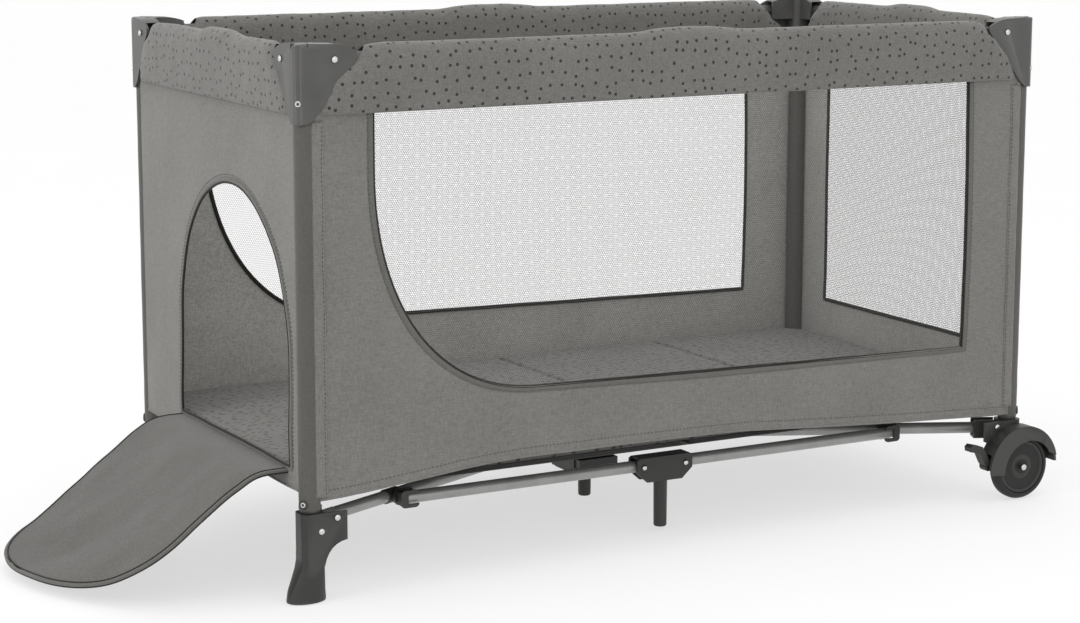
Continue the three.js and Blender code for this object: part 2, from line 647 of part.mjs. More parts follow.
for (const [name, corner] of Object.entries(CORNERS)) {
  const wheeled = name === 'fr' || name === 'br';
  const place = (geometry) => atCorner(geometry, corner);
  add(`post_${name}`, place(post(wheeled ? WHEEL.postLow : FOOT.postLow)), FINISH.sleeve);
  add(`corner_cap_${name}`, place(cap()), FINISH.plastic);
  if (wheeled) {
    add(`wheel_bracket_${name}`, place(wheelBracket()), FINISH.darkPlastic);
    add(`wheel_${name}`, place(wheel()), FINISH.tyre);
    add(`brake_lever_${name}`, place(brakeLever()), FINISH.darkPlastic);
  } else {
    add(`foot_${name}`, place(foot()), FINISH.plastic);
  }
  add(`long_rail_${name}`, place(longRail()), FINISH.steel);
  add(`short_rail_${name}`, place(shortRail()), FINISH.steel);
  add(`diagonal_tube_${name}`, place(diagonalTube()), FINISH.tube);
  add(`knuckle_${name}`, place(knuckle()), FINISH.darkPlastic);
  add(`side_tube_${name}`, place(sideTube()), FINISH.tube);
}

const frontLatch = latch(prismXZ, LENGTH / 2, LATCH_PIN.x);
const leftLatch = latch(prismYZ, WIDTH / 2, LATCH_PIN.y);
add('latch_front', frontLatch, FINISH.darkPlastic);
add('latch_back', toBack(frontLatch), FINISH.darkPlastic);
add('latch_left', leftLatch, FINISH.darkPlastic);
add('latch_right', toRight(leftLatch), FINISH.darkPlastic);

const frontHub = sideHub();
add('side_hub_front', frontHub, FINISH.plastic);
add('side_hub_back', toBack(frontHub), FINISH.plastic);
add('centre_hub', centreHub(), FINISH.darkPlastic);

add('wall_front', sideWall(), FINISH.fabric);
add('wall_back', toBack(sideWall()), FINISH.fabric);
add('wall_door', doorWall(), FINISH.fabric);
add('wall_right', toRight(netWall()), FINISH.fabric);
add('net_front', sideNet(), FINISH.net);
add('net_back', toBack(sideNet()), FINISH.net);
add('net_right', toRight(endNet()), FINISH.net);

const frontCover = cover(prismXZ, LENGTH, CAP.wing, LATCH_PIN.x);
const leftCover = cover(prismYZ, WIDTH, CAP.sideWing, LATCH_PIN.y);
add('rail_cover_front', frontCover, FINISH.cover);
add('rail_cover_back', toBack(frontCover), FINISH.cover);
add('rail_cover_left', leftCover, FINISH.cover);
add('rail_cover_right', toRight(leftCover), FINISH.cover);

add('floor_sheet', floorSheet(), FINISH.floor);
add('mattress', mattress(), FINISH.mattress);
ramp().forEach((panel, i) => add(`ramp_panel_${i + 1}`, panel, FINISH.flap));

export default root;
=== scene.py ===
"""Looks of the folding travel cot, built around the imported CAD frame."""
import math

import bmesh
import bpy
import numpy as np
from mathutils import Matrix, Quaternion, Vector


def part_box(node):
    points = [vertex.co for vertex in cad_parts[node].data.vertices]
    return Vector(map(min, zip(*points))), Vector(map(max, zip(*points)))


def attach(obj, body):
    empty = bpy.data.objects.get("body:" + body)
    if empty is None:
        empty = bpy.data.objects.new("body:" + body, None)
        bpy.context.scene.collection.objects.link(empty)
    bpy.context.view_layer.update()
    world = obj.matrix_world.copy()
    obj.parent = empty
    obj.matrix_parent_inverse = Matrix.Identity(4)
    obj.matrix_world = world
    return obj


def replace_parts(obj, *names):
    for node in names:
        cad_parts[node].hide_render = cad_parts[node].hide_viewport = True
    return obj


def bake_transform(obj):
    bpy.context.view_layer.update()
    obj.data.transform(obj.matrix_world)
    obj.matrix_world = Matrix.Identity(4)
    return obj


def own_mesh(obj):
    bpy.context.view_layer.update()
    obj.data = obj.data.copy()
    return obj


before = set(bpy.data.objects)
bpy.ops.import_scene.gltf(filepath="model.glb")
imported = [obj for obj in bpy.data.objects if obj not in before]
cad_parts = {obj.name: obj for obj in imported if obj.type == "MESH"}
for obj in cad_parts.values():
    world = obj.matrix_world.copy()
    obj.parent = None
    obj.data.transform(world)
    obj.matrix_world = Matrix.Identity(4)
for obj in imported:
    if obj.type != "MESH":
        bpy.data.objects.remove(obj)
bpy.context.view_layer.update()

MM = 0.001
LENGTH, WIDTH = 1200.0, 600.0  # between post axes, as in the CAD
low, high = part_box("post_fl")
ORIGIN = np.array([(low.x + high.x) / 2, (low.y + high.y) / 2, 0.0])  # front left post

RAIL_Z, RAIL_OUT, BASE_Z = 737.0, 5.0, 106.0
TUBE_R, OVERHANG = 9.0, 5.0  # tube radius, and how far a tube runs past its pin
WALL_THICK = 1.6


# ------------------------------------------------------------------ placing and meshes
def to_frame(points):
    """Design points in mm, measured from the front left post, to metres in the frame."""
    return ORIGIN + np.asarray(points, float) * MM


CORNERS = {"fl": (0, 0, 1, 1), "fr": (LENGTH, 0, -1, 1),
           "bl": (0, WIDTH, 1, -1), "br": (LENGTH, WIDTH, -1, -1)}


def at_corner(points, corner):
    x, y, sx, sy = CORNERS[corner]
    return np.asarray(points, float) * [sx, sy, 1] + [x, y, 0]


def flipped(corner):
    return CORNERS[corner][2] * CORNERS[corner][3] < 0


def make(name, points, faces, body, material, uv=None, smooth=True, closed=False):
    """A mesh piece from design points, riding on a CAD body."""
    mesh = bpy.data.meshes.new(name)
    mesh.from_pydata(to_frame(points).tolist(), [], [tuple(f) for f in faces])
    if uv is not None:
        layer = mesh.uv_layers.new(name="cloth")
        index = np.zeros(len(mesh.loops), int)
        mesh.loops.foreach_get("vertex_index", index)
        layer.data.foreach_set("uv", (np.asarray(uv, float)[index] * MM).ravel())
    mesh.polygons.foreach_set("use_smooth", [smooth] * len(mesh.polygons))
    mesh.materials.append(material)
    piece = bpy.data.objects.new(name, mesh)
    bpy.context.scene.collection.objects.link(piece)
    if closed:
        work = bmesh.new()
        work.from_mesh(mesh)
        bmesh.ops.recalc_face_normals(work, faces=work.faces)
        work.to_mesh(mesh)
        work.free()
    if body:
        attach(piece, body)
    return piece


def grid_faces(rows, cols, close_rows=False, close_cols=False, flip=False):
    faces = []
    for i in range(rows if close_rows else rows - 1):
        for j in range(cols if close_cols else cols - 1):
            a, b = i * cols + j, i * cols + (j + 1) % cols
            c, d = ((i + 1) % rows) * cols + (j + 1) % cols, ((i + 1) % rows) * cols + j
            faces.append((a, d, c, b) if flip else (a, b, c, d))
    return faces


def sheet(name, points, body, material, flip=False, ring=False, uv=None):
    """A sheet from a grid of points, joined round into a ring if asked."""
    rows, cols = points.shape[:2]
    return make(name, points.reshape(-1, 3), grid_faces(rows, cols, False, ring, flip), body, material,
                uv=uv)


def end_caps(count, total):
    """The two faces that close a skin of rings: its first ring and, turned round, its last."""
    return [tuple(range(count)), tuple(range(total - 1, total - 1 - count, -1))]


def until(start, end, count):
    """Evenly spaced values from the start up to, and without, the end."""
    return np.linspace(start, end, count, endpoint=False)


def pairs(u, v):
    """Points (u, v) of an outline; a single number goes with every value of the other."""
    return np.stack(np.broadcast_arrays(np.asarray(u, float), np.asarray(v, float)), -1)


def flat(a, b):
    """A grid's flat coordinates as one list of pairs, for its cloth pattern."""
    return np.stack([a, b], -1).reshape(-1, 2)


def unit(vectors):
    return vectors / np.linalg.norm(vectors, axis=1, keepdims=True)


def smoothstep(low, high, x):
    t = np.clip((np.asarray(x, float) - low) / (high - low), 0, 1)
    return t * t * (3 - 2 * t)


def ripple(a, b, seed, wavelength, octaves=3):
    """Smooth repeatable unevenness of about +-1 over the plane (a, b), in mm."""
    random = np.random.default_rng(seed)
    total = np.zeros(np.broadcast(a, b).shape)
    for octave in range(octaves):
        for _ in range(4):
            angle, phase = random.uniform(0, 2 * math.pi, 2)
            k = 2 * math.pi / (wavelength / 1.8**octave) * random.uniform(0.7, 1.3)
            total += np.sin(k * (a * math.cos(angle) + b * math.sin(angle)) + phase) / 1.7**octave
    return total / 4.5


def solidify(piece, thickness, inner=None):
    """Gives a sheet its thickness in mm; `inner` is the material of its inner face."""
    if inner is not None:
        piece.data.materials.append(inner)
    modifier = piece.modifiers.new("thickness", "SOLIDIFY")
    modifier.thickness = thickness * MM
    modifier.offset = 0.0
    modifier.use_even_offset = True
    if inner is not None:
        modifier.material_offset = 1


def frames_along(path, closed):
    """Tangent and two cross directions at each point of a path, without twist."""
    ahead = np.roll(path, -1, 0) - np.roll(path, 1, 0)
    if not closed:
        ahead[0], ahead[-1] = path[1] - path[0], path[-1] - path[-2]
    ahead /= np.maximum(np.linalg.norm(ahead, axis=1, keepdims=True), 1e-9)
    side = np.cross(ahead[0], [0, 0, 1])
    if np.linalg.norm(side) < 0.1:
        side = np.cross(ahead[0], [0, 1, 0])
    sides = []
    for t in ahead:
        side = side - t * (side @ t)
        side /= np.linalg.norm(side)
        sides.append(side)
    sides = np.array(sides)
    return ahead, sides, np.cross(sides, ahead)


def rope(name, path, radius, body, material, closed=False, sides=8, flat=1.0, out=None):
    """A round or flattened band along a path. `out` fixes the direction it is flattened in."""
    path = np.asarray(path, float)
    ahead, side, up = frames_along(path, closed)
    if out is not None:
        up = np.tile(np.asarray(out, float), (len(path), 1))
        side = unit(np.cross(ahead, up))
    turn = until(0, 2 * math.pi, sides)
    points = (path[:, None] + radius * np.cos(turn)[None, :, None] * side[:, None]
              + radius * flat * np.sin(turn)[None, :, None] * up[:, None]).reshape(-1, 3)
    faces = grid_faces(len(path), sides, closed, True)
    if not closed:
        faces += end_caps(sides, len(points))
    return make(name, points, faces, body, material, closed=True)


STITCH = {"length": 3.6, "gap": 2.4, "radius": 0.55, "sides": 5}


def stitches(name, path, body, material=None, lift=(0, 0, 0)):
    """A row of short raised threads along a path."""
    length, gap, sides = STITCH["length"], STITCH["gap"], STITCH["sides"]
    path = np.asarray(path, float) + np.asarray(lift, float)
    step = np.linalg.norm(np.diff(path, axis=0), axis=1)
    run = np.concatenate([[0], np.cumsum(step)])
    starts = np.arange(gap, run[-1] - length, length + gap)
    points, faces = [], []
    for start in starts:
        ends = [[np.interp(s, run, path[:, k]) for k in range(3)] for s in (start, start + length)]
        a, b = np.array(ends)
        along = (b - a) / max(np.linalg.norm(b - a), 1e-9)
        side = np.cross(along, [0.3, 0.5, 0.81])
        side /= np.linalg.norm(side)
        other = np.cross(along, side)
        base = len(points)
        for centre, size in ((a, 0.4), ((3 * a + b) / 4, 1.0), ((a + 3 * b) / 4, 1.0), (b, 0.4)):
            for t in until(0, 2 * math.pi, sides):
                points.append(centre + STITCH["radius"] * size * (math.cos(t) * side + math.sin(t) * other))
        for ring in range(3):
            first = base + ring * sides
            for turn in range(sides):
                i, j = first + turn, first + (turn + 1) % sides
                faces.append((i, j, j + sides, i + sides))
        faces.append(tuple(range(base + sides - 1, base - 1, -1)))
        faces.append(tuple(range(base + 3 * sides, base + 4 * sides)))
    return make(name, points, faces, body, material or THREAD)


def lathe(name, profile, centre, axis, body, material, sides=48, smooth=True):
    """Turns a profile of (distance along axis, radius) about an axis through a point."""
    axis = np.asarray(axis, float) / np.linalg.norm(axis)
    side = np.cross(axis, [0.0, 0, 1]) if abs(axis[2]) < 0.9 else np.array([1.0, 0, 0])
    side /= np.linalg.norm(side)
    other = np.cross(axis, side)
    turn = until(0, 2 * math.pi, sides)
    points = [np.asarray(centre, float) + axis * a + r * (math.cos(t) * side + math.sin(t) * other)
              for a, r in profile for t in turn]
    faces = grid_faces(len(profile), sides, False, True)
    faces += end_caps(sides, len(points))
    piece = make(name, points, faces, body, material, smooth=smooth, closed=True)
    sharp_by_angle(piece, 40)
    return piece


def sharp_by_angle(piece, degrees):
    """Smooth shading that keeps edges sharper than the angle."""
    work = bmesh.new()
    work.from_mesh(piece.data)
    limit = math.radians(degrees)
    for edge in work.edges:
        if len(edge.link_faces) == 2:
            edge.smooth = edge.calc_face_angle(0) < limit
    work.to_mesh(piece.data)
    work.free()


# ------------------------------------------------------------------ materials
class Look:
    """A principled material and short ways to add nodes to it."""

    def __init__(self, name, roughness=0.8, metallic=0.0, sheen=0.0, specular=0.5):
        self.material = bpy.data.materials.new(name)
        self.material.use_nodes = True
        self.tree = self.material.node_tree
        self.shader = self.tree.nodes["Principled BSDF"]
        self.shader.inputs["Roughness"].default_value = roughness
        self.shader.inputs["Metallic"].default_value = metallic
        self.shader.inputs["Sheen Weight"].default_value = sheen
        self.shader.inputs["Specular IOR Level"].default_value = specular
        self.coords = self.tree.nodes.new("ShaderNodeTexCoord")
        self.place = self.coords.outputs["Object"]

    def node(self, kind, inputs=(), **settings):
        made = self.tree.nodes.new(kind)
        for key, value in settings.items():
            setattr(made, key, value)
        for key, value in dict(inputs).items():
            if isinstance(value, bpy.types.NodeSocket):
                self.tree.links.new(value, made.inputs[key])
            else:
                made.inputs[key].default_value = value
        return made

    def scaled(self, scale, source=None):
        return self.node("ShaderNodeMapping", {"Vector": source or self.place,
                                               "Scale": scale}).outputs["Vector"]

    def noise(self, scale, detail=2.0, source=None, stretch=None, rough=0.5):
        vector = self.scaled(stretch, source) if stretch else (source or self.place)
        return self.node("ShaderNodeTexNoise", {"Vector": vector, "Scale": scale, "Detail": detail,
                                                "Roughness": rough}).outputs["Fac"]

    def math(self, operation, a, b=0.5):
        return self.node("ShaderNodeMath", {0: a, 1: b}, operation=operation).outputs[0]

    def spread(self, value, low, high, to_low=0.0, to_high=1.0):
        return self.node("ShaderNodeMapRange", {"Value": value, "From Min": low, "From Max": high,
                                                "To Min": to_low, "To Max": to_high}).outputs[0]

    def mix(self, factor, a, b):
        made = self.node("ShaderNodeMix", data_type="RGBA")
        for socket, value in ((made.inputs[0], factor), (made.inputs[6], a), (made.inputs[7], b)):
            if isinstance(value, bpy.types.NodeSocket):
                self.tree.links.new(value, socket)
            else:
                socket.default_value = value
        return made.outputs[2]

    def colour(self, value):
        self.tree.links.new(value, self.shader.inputs["Base Color"])

    def roughness(self, value):
        self.tree.links.new(value, self.shader.inputs["Roughness"])

    def bump(self, height, distance, strength=1.0):
        made = self.node("ShaderNodeBump", {"Height": height, "Distance": distance * MM,
                                            "Strength": strength})
        previous = self.shader.inputs["Normal"]
        if previous.is_linked:
            self.tree.links.new(previous.links[0].from_socket, made.inputs["Normal"])
        self.tree.links.new(made.outputs["Normal"], previous)


def srgb(level, warm=0.0):
    """A grey of that 0-255 level as linear colour, `warm` levels warmer."""
    channels = [(level + 0.5 * warm) / 255, level / 255, (level - 1.4 * warm) / 255]
    return (*[c / 12.92 if c < 0.04045 else ((c + 0.055) / 1.055) ** 2.4 for c in channels], 1.0)


def weave_height(look, pitch):
    """Crossing threads at a pitch in mm, the same on any side of the cot."""
    waves = [look.node("ShaderNodeTexWave", {"Vector": look.place, "Scale": 1000 / pitch / 20 * 3.14,
                                             "Distortion": 0.8, "Detail": 1.0},
                       wave_type="BANDS", bands_direction=axis).outputs["Fac"] for axis in "XYZ"]
    return look.math("ADD", look.math("ADD", waves[0], waves[1]), waves[2])


def melange(look, dark, light, warm, grain=1.0):
    """Mixed light and dark fibres: long streaks both ways, and fine specks."""
    across = look.noise(380, 3, stretch=(0.35, 0.35, 1.6), rough=0.6)
    down = look.noise(380, 3, stretch=(1.6, 1.6, 0.3), rough=0.6)
    specks = look.noise(900 / grain, 2, rough=0.7)
    cloud = look.noise(9, 2)
    fibres = look.math("ADD", look.math("MULTIPLY", across, 0.5), look.math("MULTIPLY", down, 0.5))
    total = look.math("ADD", look.math("MULTIPLY", fibres, 0.6), look.math("MULTIPLY", specks, 0.4))
    total = look.math("ADD", total, look.math("MULTIPLY", look.math("SUBTRACT", cloud), 0.12))
    return look.mix(look.spread(total, 0.36, 0.64), srgb(dark, warm), srgb(light, warm))


def fabric(name, dark, light, warm=2.5, pitch=1.1, grain=1.0, sheen=0.25, bump=0.25, rough=0.92):
    look = Look(name, roughness=rough, sheen=sheen, specular=0.25)
    look.colour(melange(look, dark, light, warm, grain))
    look.bump(weave_height(look, pitch), bump, 0.5)
    look.bump(look.noise(60, 3), 0.6, 0.35)
    return look


def printed(look, mask, level):
    """Prints a grey over the cloth where the mask is 1, nearly hiding the fibres."""
    base = look.shader.inputs["Base Color"].links[0].from_socket
    look.colour(look.mix(look.math("MULTIPLY", mask, 0.92), base, srgb(level, 2)))


def dotted_fabric(name, dark, light, print_level):
    """Melange cloth with small soft-edged dots scattered on it."""
    look = fabric(name, dark, light)
    cloth = look.coords.outputs["UV"]
    cell = look.node("ShaderNodeTexVoronoi", {"Vector": cloth, "Scale": 56.0, "Randomness": 0.6},
                     voronoi_dimensions="2D", feature="F1")
    printed(look, look.spread(cell.outputs["Distance"], 0.145, 0.115), print_level)
    return look


def dashed_fabric(name, dark, light, print_level):
    """Melange cloth printed with short dashes in two directions."""
    look = fabric(name, dark, light, bump=0.2)
    total = None
    for turn, seed in ((0.25, 0.0), (-0.9, 3.7)):
        place = look.node("ShaderNodeMapping", {"Vector": look.place, "Location": (seed, seed, 0),
                                                "Rotation": (0, 0, turn), "Scale": (1, 1.7, 0)})
        cell = look.node("ShaderNodeTexVoronoi", {"Vector": place.outputs["Vector"], "Scale": 40.0,
                                                  "Randomness": 0.8},
                         voronoi_dimensions="2D", feature="F1")
        dash = look.spread(cell.outputs["Distance"], 0.155, 0.120)
        total = dash if total is None else look.math("MAXIMUM", total, dash)
    printed(look, total, print_level)
    return look


def plastic(name, level, roughness=0.5, warm=1.0):
    """Moulded plastic with a fine spark-eroded grain and slightly paler worn edges."""
    look = Look(name, roughness=roughness, specular=0.45)
    cloud = look.noise(25, 3)
    fine = look.noise(1500, 2)
    edges = look.node("ShaderNodeNewGeometry").outputs["Pointiness"]
    worn = look.spread(edges, 0.52, 0.62, 0.0, 0.35)
    base = look.mix(look.spread(cloud, 0.3, 0.7), srgb(level - 4, warm), srgb(level + 4, warm))
    look.colour(look.mix(worn, base, srgb(level + 35, warm)))
    look.roughness(look.spread(cloud, 0.3, 0.7, roughness - 0.06, roughness + 0.06))
    look.bump(fine, 0.06, 0.5)
    return look


def metal(name, level, roughness, metallic, grain=0.03):
    look = Look(name, roughness=roughness, metallic=metallic)
    cloud = look.noise(40, 3)
    look.colour(look.mix(look.spread(cloud, 0.3, 0.7), srgb(level - 6, 1), srgb(level + 6, 1)))
    look.roughness(look.spread(cloud, 0.3, 0.7, roughness - 0.05, roughness + 0.05))
    look.bump(look.noise(1200, 2), grain, 0.4)
    return look


def netting(name, level, pitch, thread):
    """Hexagonal net at a pitch in mm: three sets of waves add up to a honeycomb of threads."""
    look = Look(name, roughness=0.85, specular=0.3)
    cloth = look.coords.outputs["UV"]
    total = None
    k = 2 * math.pi / (pitch * MM * math.cos(math.pi / 6))
    for angle in (0, 2 * math.pi / 3, 4 * math.pi / 3):
        direction = (k * math.sin(angle), k * math.cos(angle), 0)
        part = look.node("ShaderNodeVectorMath", {0: cloth, 1: direction},
                         operation="DOT_PRODUCT").outputs["Value"]
        wave = look.math("COSINE", part)
        total = wave if total is None else look.math("ADD", total, wave)
    threads = look.spread(total, thread + 0.1, thread - 0.1)
    look.tree.links.new(threads, look.shader.inputs["Alpha"])
    look.colour(look.mix(look.noise(200, 2), srgb(level - 12, 1), srgb(level + 12, 1)))
    return look


WALL = fabric("wall_cloth", 94, 127).material
# Painted light: the walls' inner face is the same cloth as their outer face, painted much paler to stand in
# for the light the inside of the cot lacks.
WALL_INNER_PAINTED_LIGHT = fabric("wall_inner_painted_light", 136, 186, warm=3.0, grain=1.8).material
SLEEVE = fabric("sleeve_cloth", 74, 88, pitch=0.8, sheen=0.05, bump=0.1, rough=0.45).material
COVER = dotted_fabric("rail_cloth", 88, 120, 36).material
RAMP_CLOTH = fabric("ramp_cloth", 76, 98, pitch=0.9).material
MATTRESS = dashed_fabric("mattress_cloth", 88, 120, 36).material
BASE_CLOTH = fabric("base_cloth", 40, 56, pitch=1.4).material
BINDING = fabric("dark_binding", 30, 44, pitch=0.9, sheen=0.1).material
PALE_BINDING = fabric("grey_binding", 84, 104, pitch=0.9).material
THREAD = fabric("thread", 66, 82, pitch=0.5).material
NET = netting("net", 92, 3.4, -1.10).material
NET_END = netting("net_end", 92, 3.4, -0.80).material
GREY_PLASTIC = plastic("grey_plastic", 74, 0.36).material
FOOT_PLASTIC = plastic("foot_plastic", 42, 0.46).material
DARK_PLASTIC = plastic("dark_plastic", 40, 0.46).material
TYRE = plastic("tyre", 20, 0.6).material
TUBE = metal("grey_tube", 150, 0.34, 0.45).material
RAIL_STEEL = metal("rail_tube", 90, 0.4, 0.6).material
CHROME = metal("chrome", 205, 0.16, 1.0, grain=0.01).material

# ------------------------------------------------------------------ CAD parts that stay
KEPT = {
    "corner_cap": (GREY_PLASTIC, 2.6), "foot": (FOOT_PLASTIC, 2.2), "side_hub": (FOOT_PLASTIC, 1.6),
    "wheel_bracket": (DARK_PLASTIC, 1.4), "brake_lever": (DARK_PLASTIC, 1.0),
    "knuckle": (DARK_PLASTIC, 0.8), "latch": (DARK_PLASTIC, 0.8), "centre_hub": (DARK_PLASTIC, 1.0),
}
for name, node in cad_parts.items():
    for start, (material, width) in KEPT.items():
        if name.startswith(start):
            node.data.materials.clear()
            node.data.materials.append(material)
            weld = node.modifiers.new("weld", "WELD")
            weld.merge_threshold = 0.00001
            bevel = node.modifiers.new("edges", "BEVEL")
            bevel.width, bevel.segments, bevel.limit_method = width * MM, 3, "ANGLE"
            bevel.angle_limit = math.radians(32)
            bevel.harden_normals = False  # the weighted normals below do that
            node.modifiers.new("shade", "WEIGHTED_NORMAL").keep_sharp = True
            for polygon in node.data.polygons:
                polygon.use_smooth = True


# ------------------------------------------------------------------ tubes
def tube(name, start, end, radius, body, material, node):
    """A round tube with a rolled rim at each end, its ends closed inside the rims."""
    start, end = np.asarray(start, float), np.asarray(end, float)
    length = np.linalg.norm(end - start)
    profile = [(0.2, radius - 2.2), (0.2, radius - 1.2), (0.5, radius - 0.4), (1.4, radius),
               (length / 2, radius), (length - 1.4, radius), (length - 0.5, radius - 0.4),
               (length - 0.2, radius - 1.2), (length - 0.2, radius - 2.2)]
    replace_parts(lathe(name, profile, start, end - start, body, material), node)


CAP_PIN, LATCH_PIN, FOOT_PIN = (37, 32), (45, 24), (30, 30)
LONG_ARM = LENGTH / 2 - CAP_PIN[0] - LATCH_PIN[0]
SHORT_ARM = WIDTH / 2 - CAP_PIN[1] - LATCH_PIN[1]
ALONG = np.array([LONG_ARM, SHORT_ARM, 0]) / math.hypot(LONG_ARM, SHORT_ARM)
KNUCKLE_SHARE = 0.26  # how far along a diagonal its knuckle sits
KNUCKLE = np.array([FOOT_PIN[0] + KNUCKLE_SHARE * LONG_ARM, FOOT_PIN[1] + KNUCKLE_SHARE * SHORT_ARM,
                    BASE_Z])
SIDE_START = KNUCKLE + [16, -22.6, 0]
SIDE_END = SIDE_START + [LONG_ARM * (1 - KNUCKLE_SHARE), 0, 0]
for corner in CORNERS:
    foot = np.array([*FOOT_PIN, BASE_Z])
    reach = np.array([LONG_ARM, SHORT_ARM, 0])
    ends = {
        "diagonal_tube": (foot, foot + reach, ALONG, "diagonal", TUBE, "grey_tube"),
        "side_tube": (SIDE_START, SIDE_END, [1, 0, 0], "side_tube", TUBE, "grey_tube"),
        "long_rail": ((CAP_PIN[0], -RAIL_OUT, RAIL_Z), (CAP_PIN[0] + LONG_ARM, -RAIL_OUT, RAIL_Z),
                      [1, 0, 0], "long_rail", RAIL_STEEL, "steel_tube"),
        "short_rail": ((-RAIL_OUT, CAP_PIN[1], RAIL_Z), (-RAIL_OUT, CAP_PIN[1] + SHORT_ARM, RAIL_Z),
                       [0, 1, 0], "short_rail", RAIL_STEEL, "steel_tube"),
    }
    for kind, (start, end, way, body, material, slot) in ends.items():
        past = OVERHANG * np.asarray(way, float)
        a, b = at_corner([start - past, end + past], corner)
        tube(f"{kind}_round_{corner}", a, b, TUBE_R, f"{body}_{corner}", material,
             f"{kind}_{corner}")
    centre, tip = at_corner([KNUCKLE, KNUCKLE + ALONG], corner)
    band = [(-13.6, 9.0), (-13.6, 10.0), (-13.0, 10.6), (13.0, 10.6), (13.6, 10.0), (13.6, 9.0)]
    lathe(f"diagonal_band_{corner}", band, centre, tip - centre, f"diagonal_{corner}", DARK_PLASTIC)


# ------------------------------------------------------------------ posts
def post_sleeve(corner):
    """The cloth sleeve round a post: slightly uneven, with a seam down its inner side."""
    rows, cols = 90, 48
    z = np.linspace(124.3, 654, rows)[:, None]
    t = until(0, 2 * math.pi, cols)[None, :]
    radius = 14.9 + 0.22 * ripple(t * 15, z, 5, 90) + 0 * t
    radius = radius + 0.5 * np.exp(-((t - 0.9) / 0.09) ** 2)
    radius = radius - 1.2 * (1 - smoothstep(124, 127, z)) + 0.4 * np.exp(-((z - 131) / 2.0) ** 2)
    points = np.stack([radius * np.cos(t), radius * np.sin(t), z + 0 * t], -1).reshape(-1, 3)
    faces = grid_faces(rows, cols, False, True)
    faces += end_caps(cols, rows * cols)
    piece = make(f"post_sleeve_{corner}", at_corner(points, corner), faces, f"corner_{corner}",
                 SLEEVE, closed=True)
    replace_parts(piece, f"post_{corner}")
    a, b = at_corner([(0, 0, 90), (0, 0, 749)], corner)
    lathe(f"post_tube_{corner}", [(0, 12.4), (659, 12.4)], a, b - a, f"corner_{corner}", TUBE)


for corner in CORNERS:
    post_sleeve(corner)


# ------------------------------------------------------------------ rivets and screws
def rivet(name, centre, axis, body, radius=4.4):
    """A domed rivet head standing on a washer rim."""
    dome = [(0, radius), (0.5, radius), (0.9, radius * 0.94), (1.6, radius * 0.74),
            (2.1, radius * 0.45), (2.3, radius * 0.12)]
    lathe(name, dome, centre, axis, body, CHROME, sides=24)


def screw(name, centre, axis, body, boss):
    """A bright screw head with a dark socket, sunk in the plastic or standing in a round boss."""
    if boss:
        lathe(f"{name}_boss", [(-4, 6.6), (1.0, 6.6), (1.8, 6.0), (1.8, 4.6), (0.8, 4.4), (0.8, 1)],
              centre, axis, body, FOOT_PLASTIC, sides=32)
    lathe(f"{name}_head", [(0, 4.1), (1.2, 4.1), (1.9, 3.5), (2.0, 2.6), (1.6, 2.1), (1.0, 2.0), (1.0, 0.4)],
          centre, axis, body, CHROME, sides=24)
    lathe(f"{name}_socket", [(0.9, 2.05), (1.25, 2.05), (1.25, 0.4)], centre, axis, body, DARK_PLASTIC,
          sides=6, smooth=False)


for corner, (_, _, sx, sy) in CORNERS.items():
    body = f"corner_{corner}"
    spots = {
        "cap_rivet_long": ((CAP_PIN[0], -19.4, RAIL_Z), (0, -sy, 0)),
        "cap_rivet_short": ((-19.4, CAP_PIN[1], RAIL_Z), (-sx, 0, 0)),
        "bracket_rivet": ((33, -18.4, 116), (0, -sy, 0)),
        "bracket_rivet_low": ((10, -17.0, 99), (0, -sy, 0)),
    }
    for name, (centre, axis) in spots.items():
        rivet(f"{name}_{corner}", at_corner([centre], corner)[0], axis, body)
    cap_spot, post_spot = at_corner([(-14.0, -14.0, 680), (-12.6, -8.0, 137)], corner)
    screw(f"cap_screw_{corner}", cap_spot, (-sx, -sy, 0), body, False)
    screw(f"post_screw_{corner}", post_spot, (-1.6 * sx, -sy, 0), body, True)

for side, y, out, hub_body in (("front", SIDE_START[1], -1, "side_hub_front"),
                               ("back", WIDTH - SIDE_START[1], 1, "side_hub_back")):
    for hand in (-1, 1):
        centre = (LENGTH / 2 + hand * (LENGTH / 2 - SIDE_END[0]), y + out * 14.4, BASE_Z)
        rivet(f"hub_rivet_{side}_{'ab'[hand > 0]}", centre, (0, out, 0), hub_body, 4.0)


def loop_between(corner_points, counts):
    """A closed loop through corner points, each side with its own number of points."""
    sides = []
    for k, count in enumerate(counts):
        a, b = corner_points[k], corner_points[(k + 1) % len(counts)]
        t = until(0, 1, count)[:, None]
        sides.append(np.asarray(a, float) * (1 - t) + np.asarray(b, float) * t)
    return np.concatenate(sides)


def ruled(outer, inner, rings):
    """Rings of points from an outer loop to an inner one, closer together at both edges."""
    t = (1 - np.cos(np.linspace(0, math.pi, rings))) / 2
    return outer[None] * (1 - t[:, None, None]) + inner[None] * t[:, None, None]


SIDE = {"hem": [(0, 140), (16, 138), (282, 165), (652, 164), (945, 145), (1187, 133), (1200, 132)],
        "top": 673.0, "left": 8.0, "right": 1192.0}
WINDOW = {"left": 95.0, "right": 1097.0, "top": 669.0, "edge": 330}  # edge: points below its top
BEND = {"width": 262, "right": 357, "low": 264, "top": 590}  # the window's lower left bend


def hem_height(x):
    xs, zs = np.array(SIDE["hem"], float).T
    smooth = np.interp(x, xs, zs)
    for shift in (-60, -30, 30, 60):
        smooth = smooth + np.interp(np.clip(x + shift, 0, LENGTH), xs, zs)
    return smooth / 5


def window_curve(count):
    """The bend at the lower left of the side window, from its left edge to its lower edge."""
    t = until(0, math.pi / 2, count)
    power = 2 / 2.25
    x = WINDOW["left"] + BEND["width"] * (1 - np.cos(t) ** power)
    z = BEND["low"] + (BEND["top"] - BEND["low"]) * (1 - np.sin(t) ** power)
    return np.stack([x, z], 1)


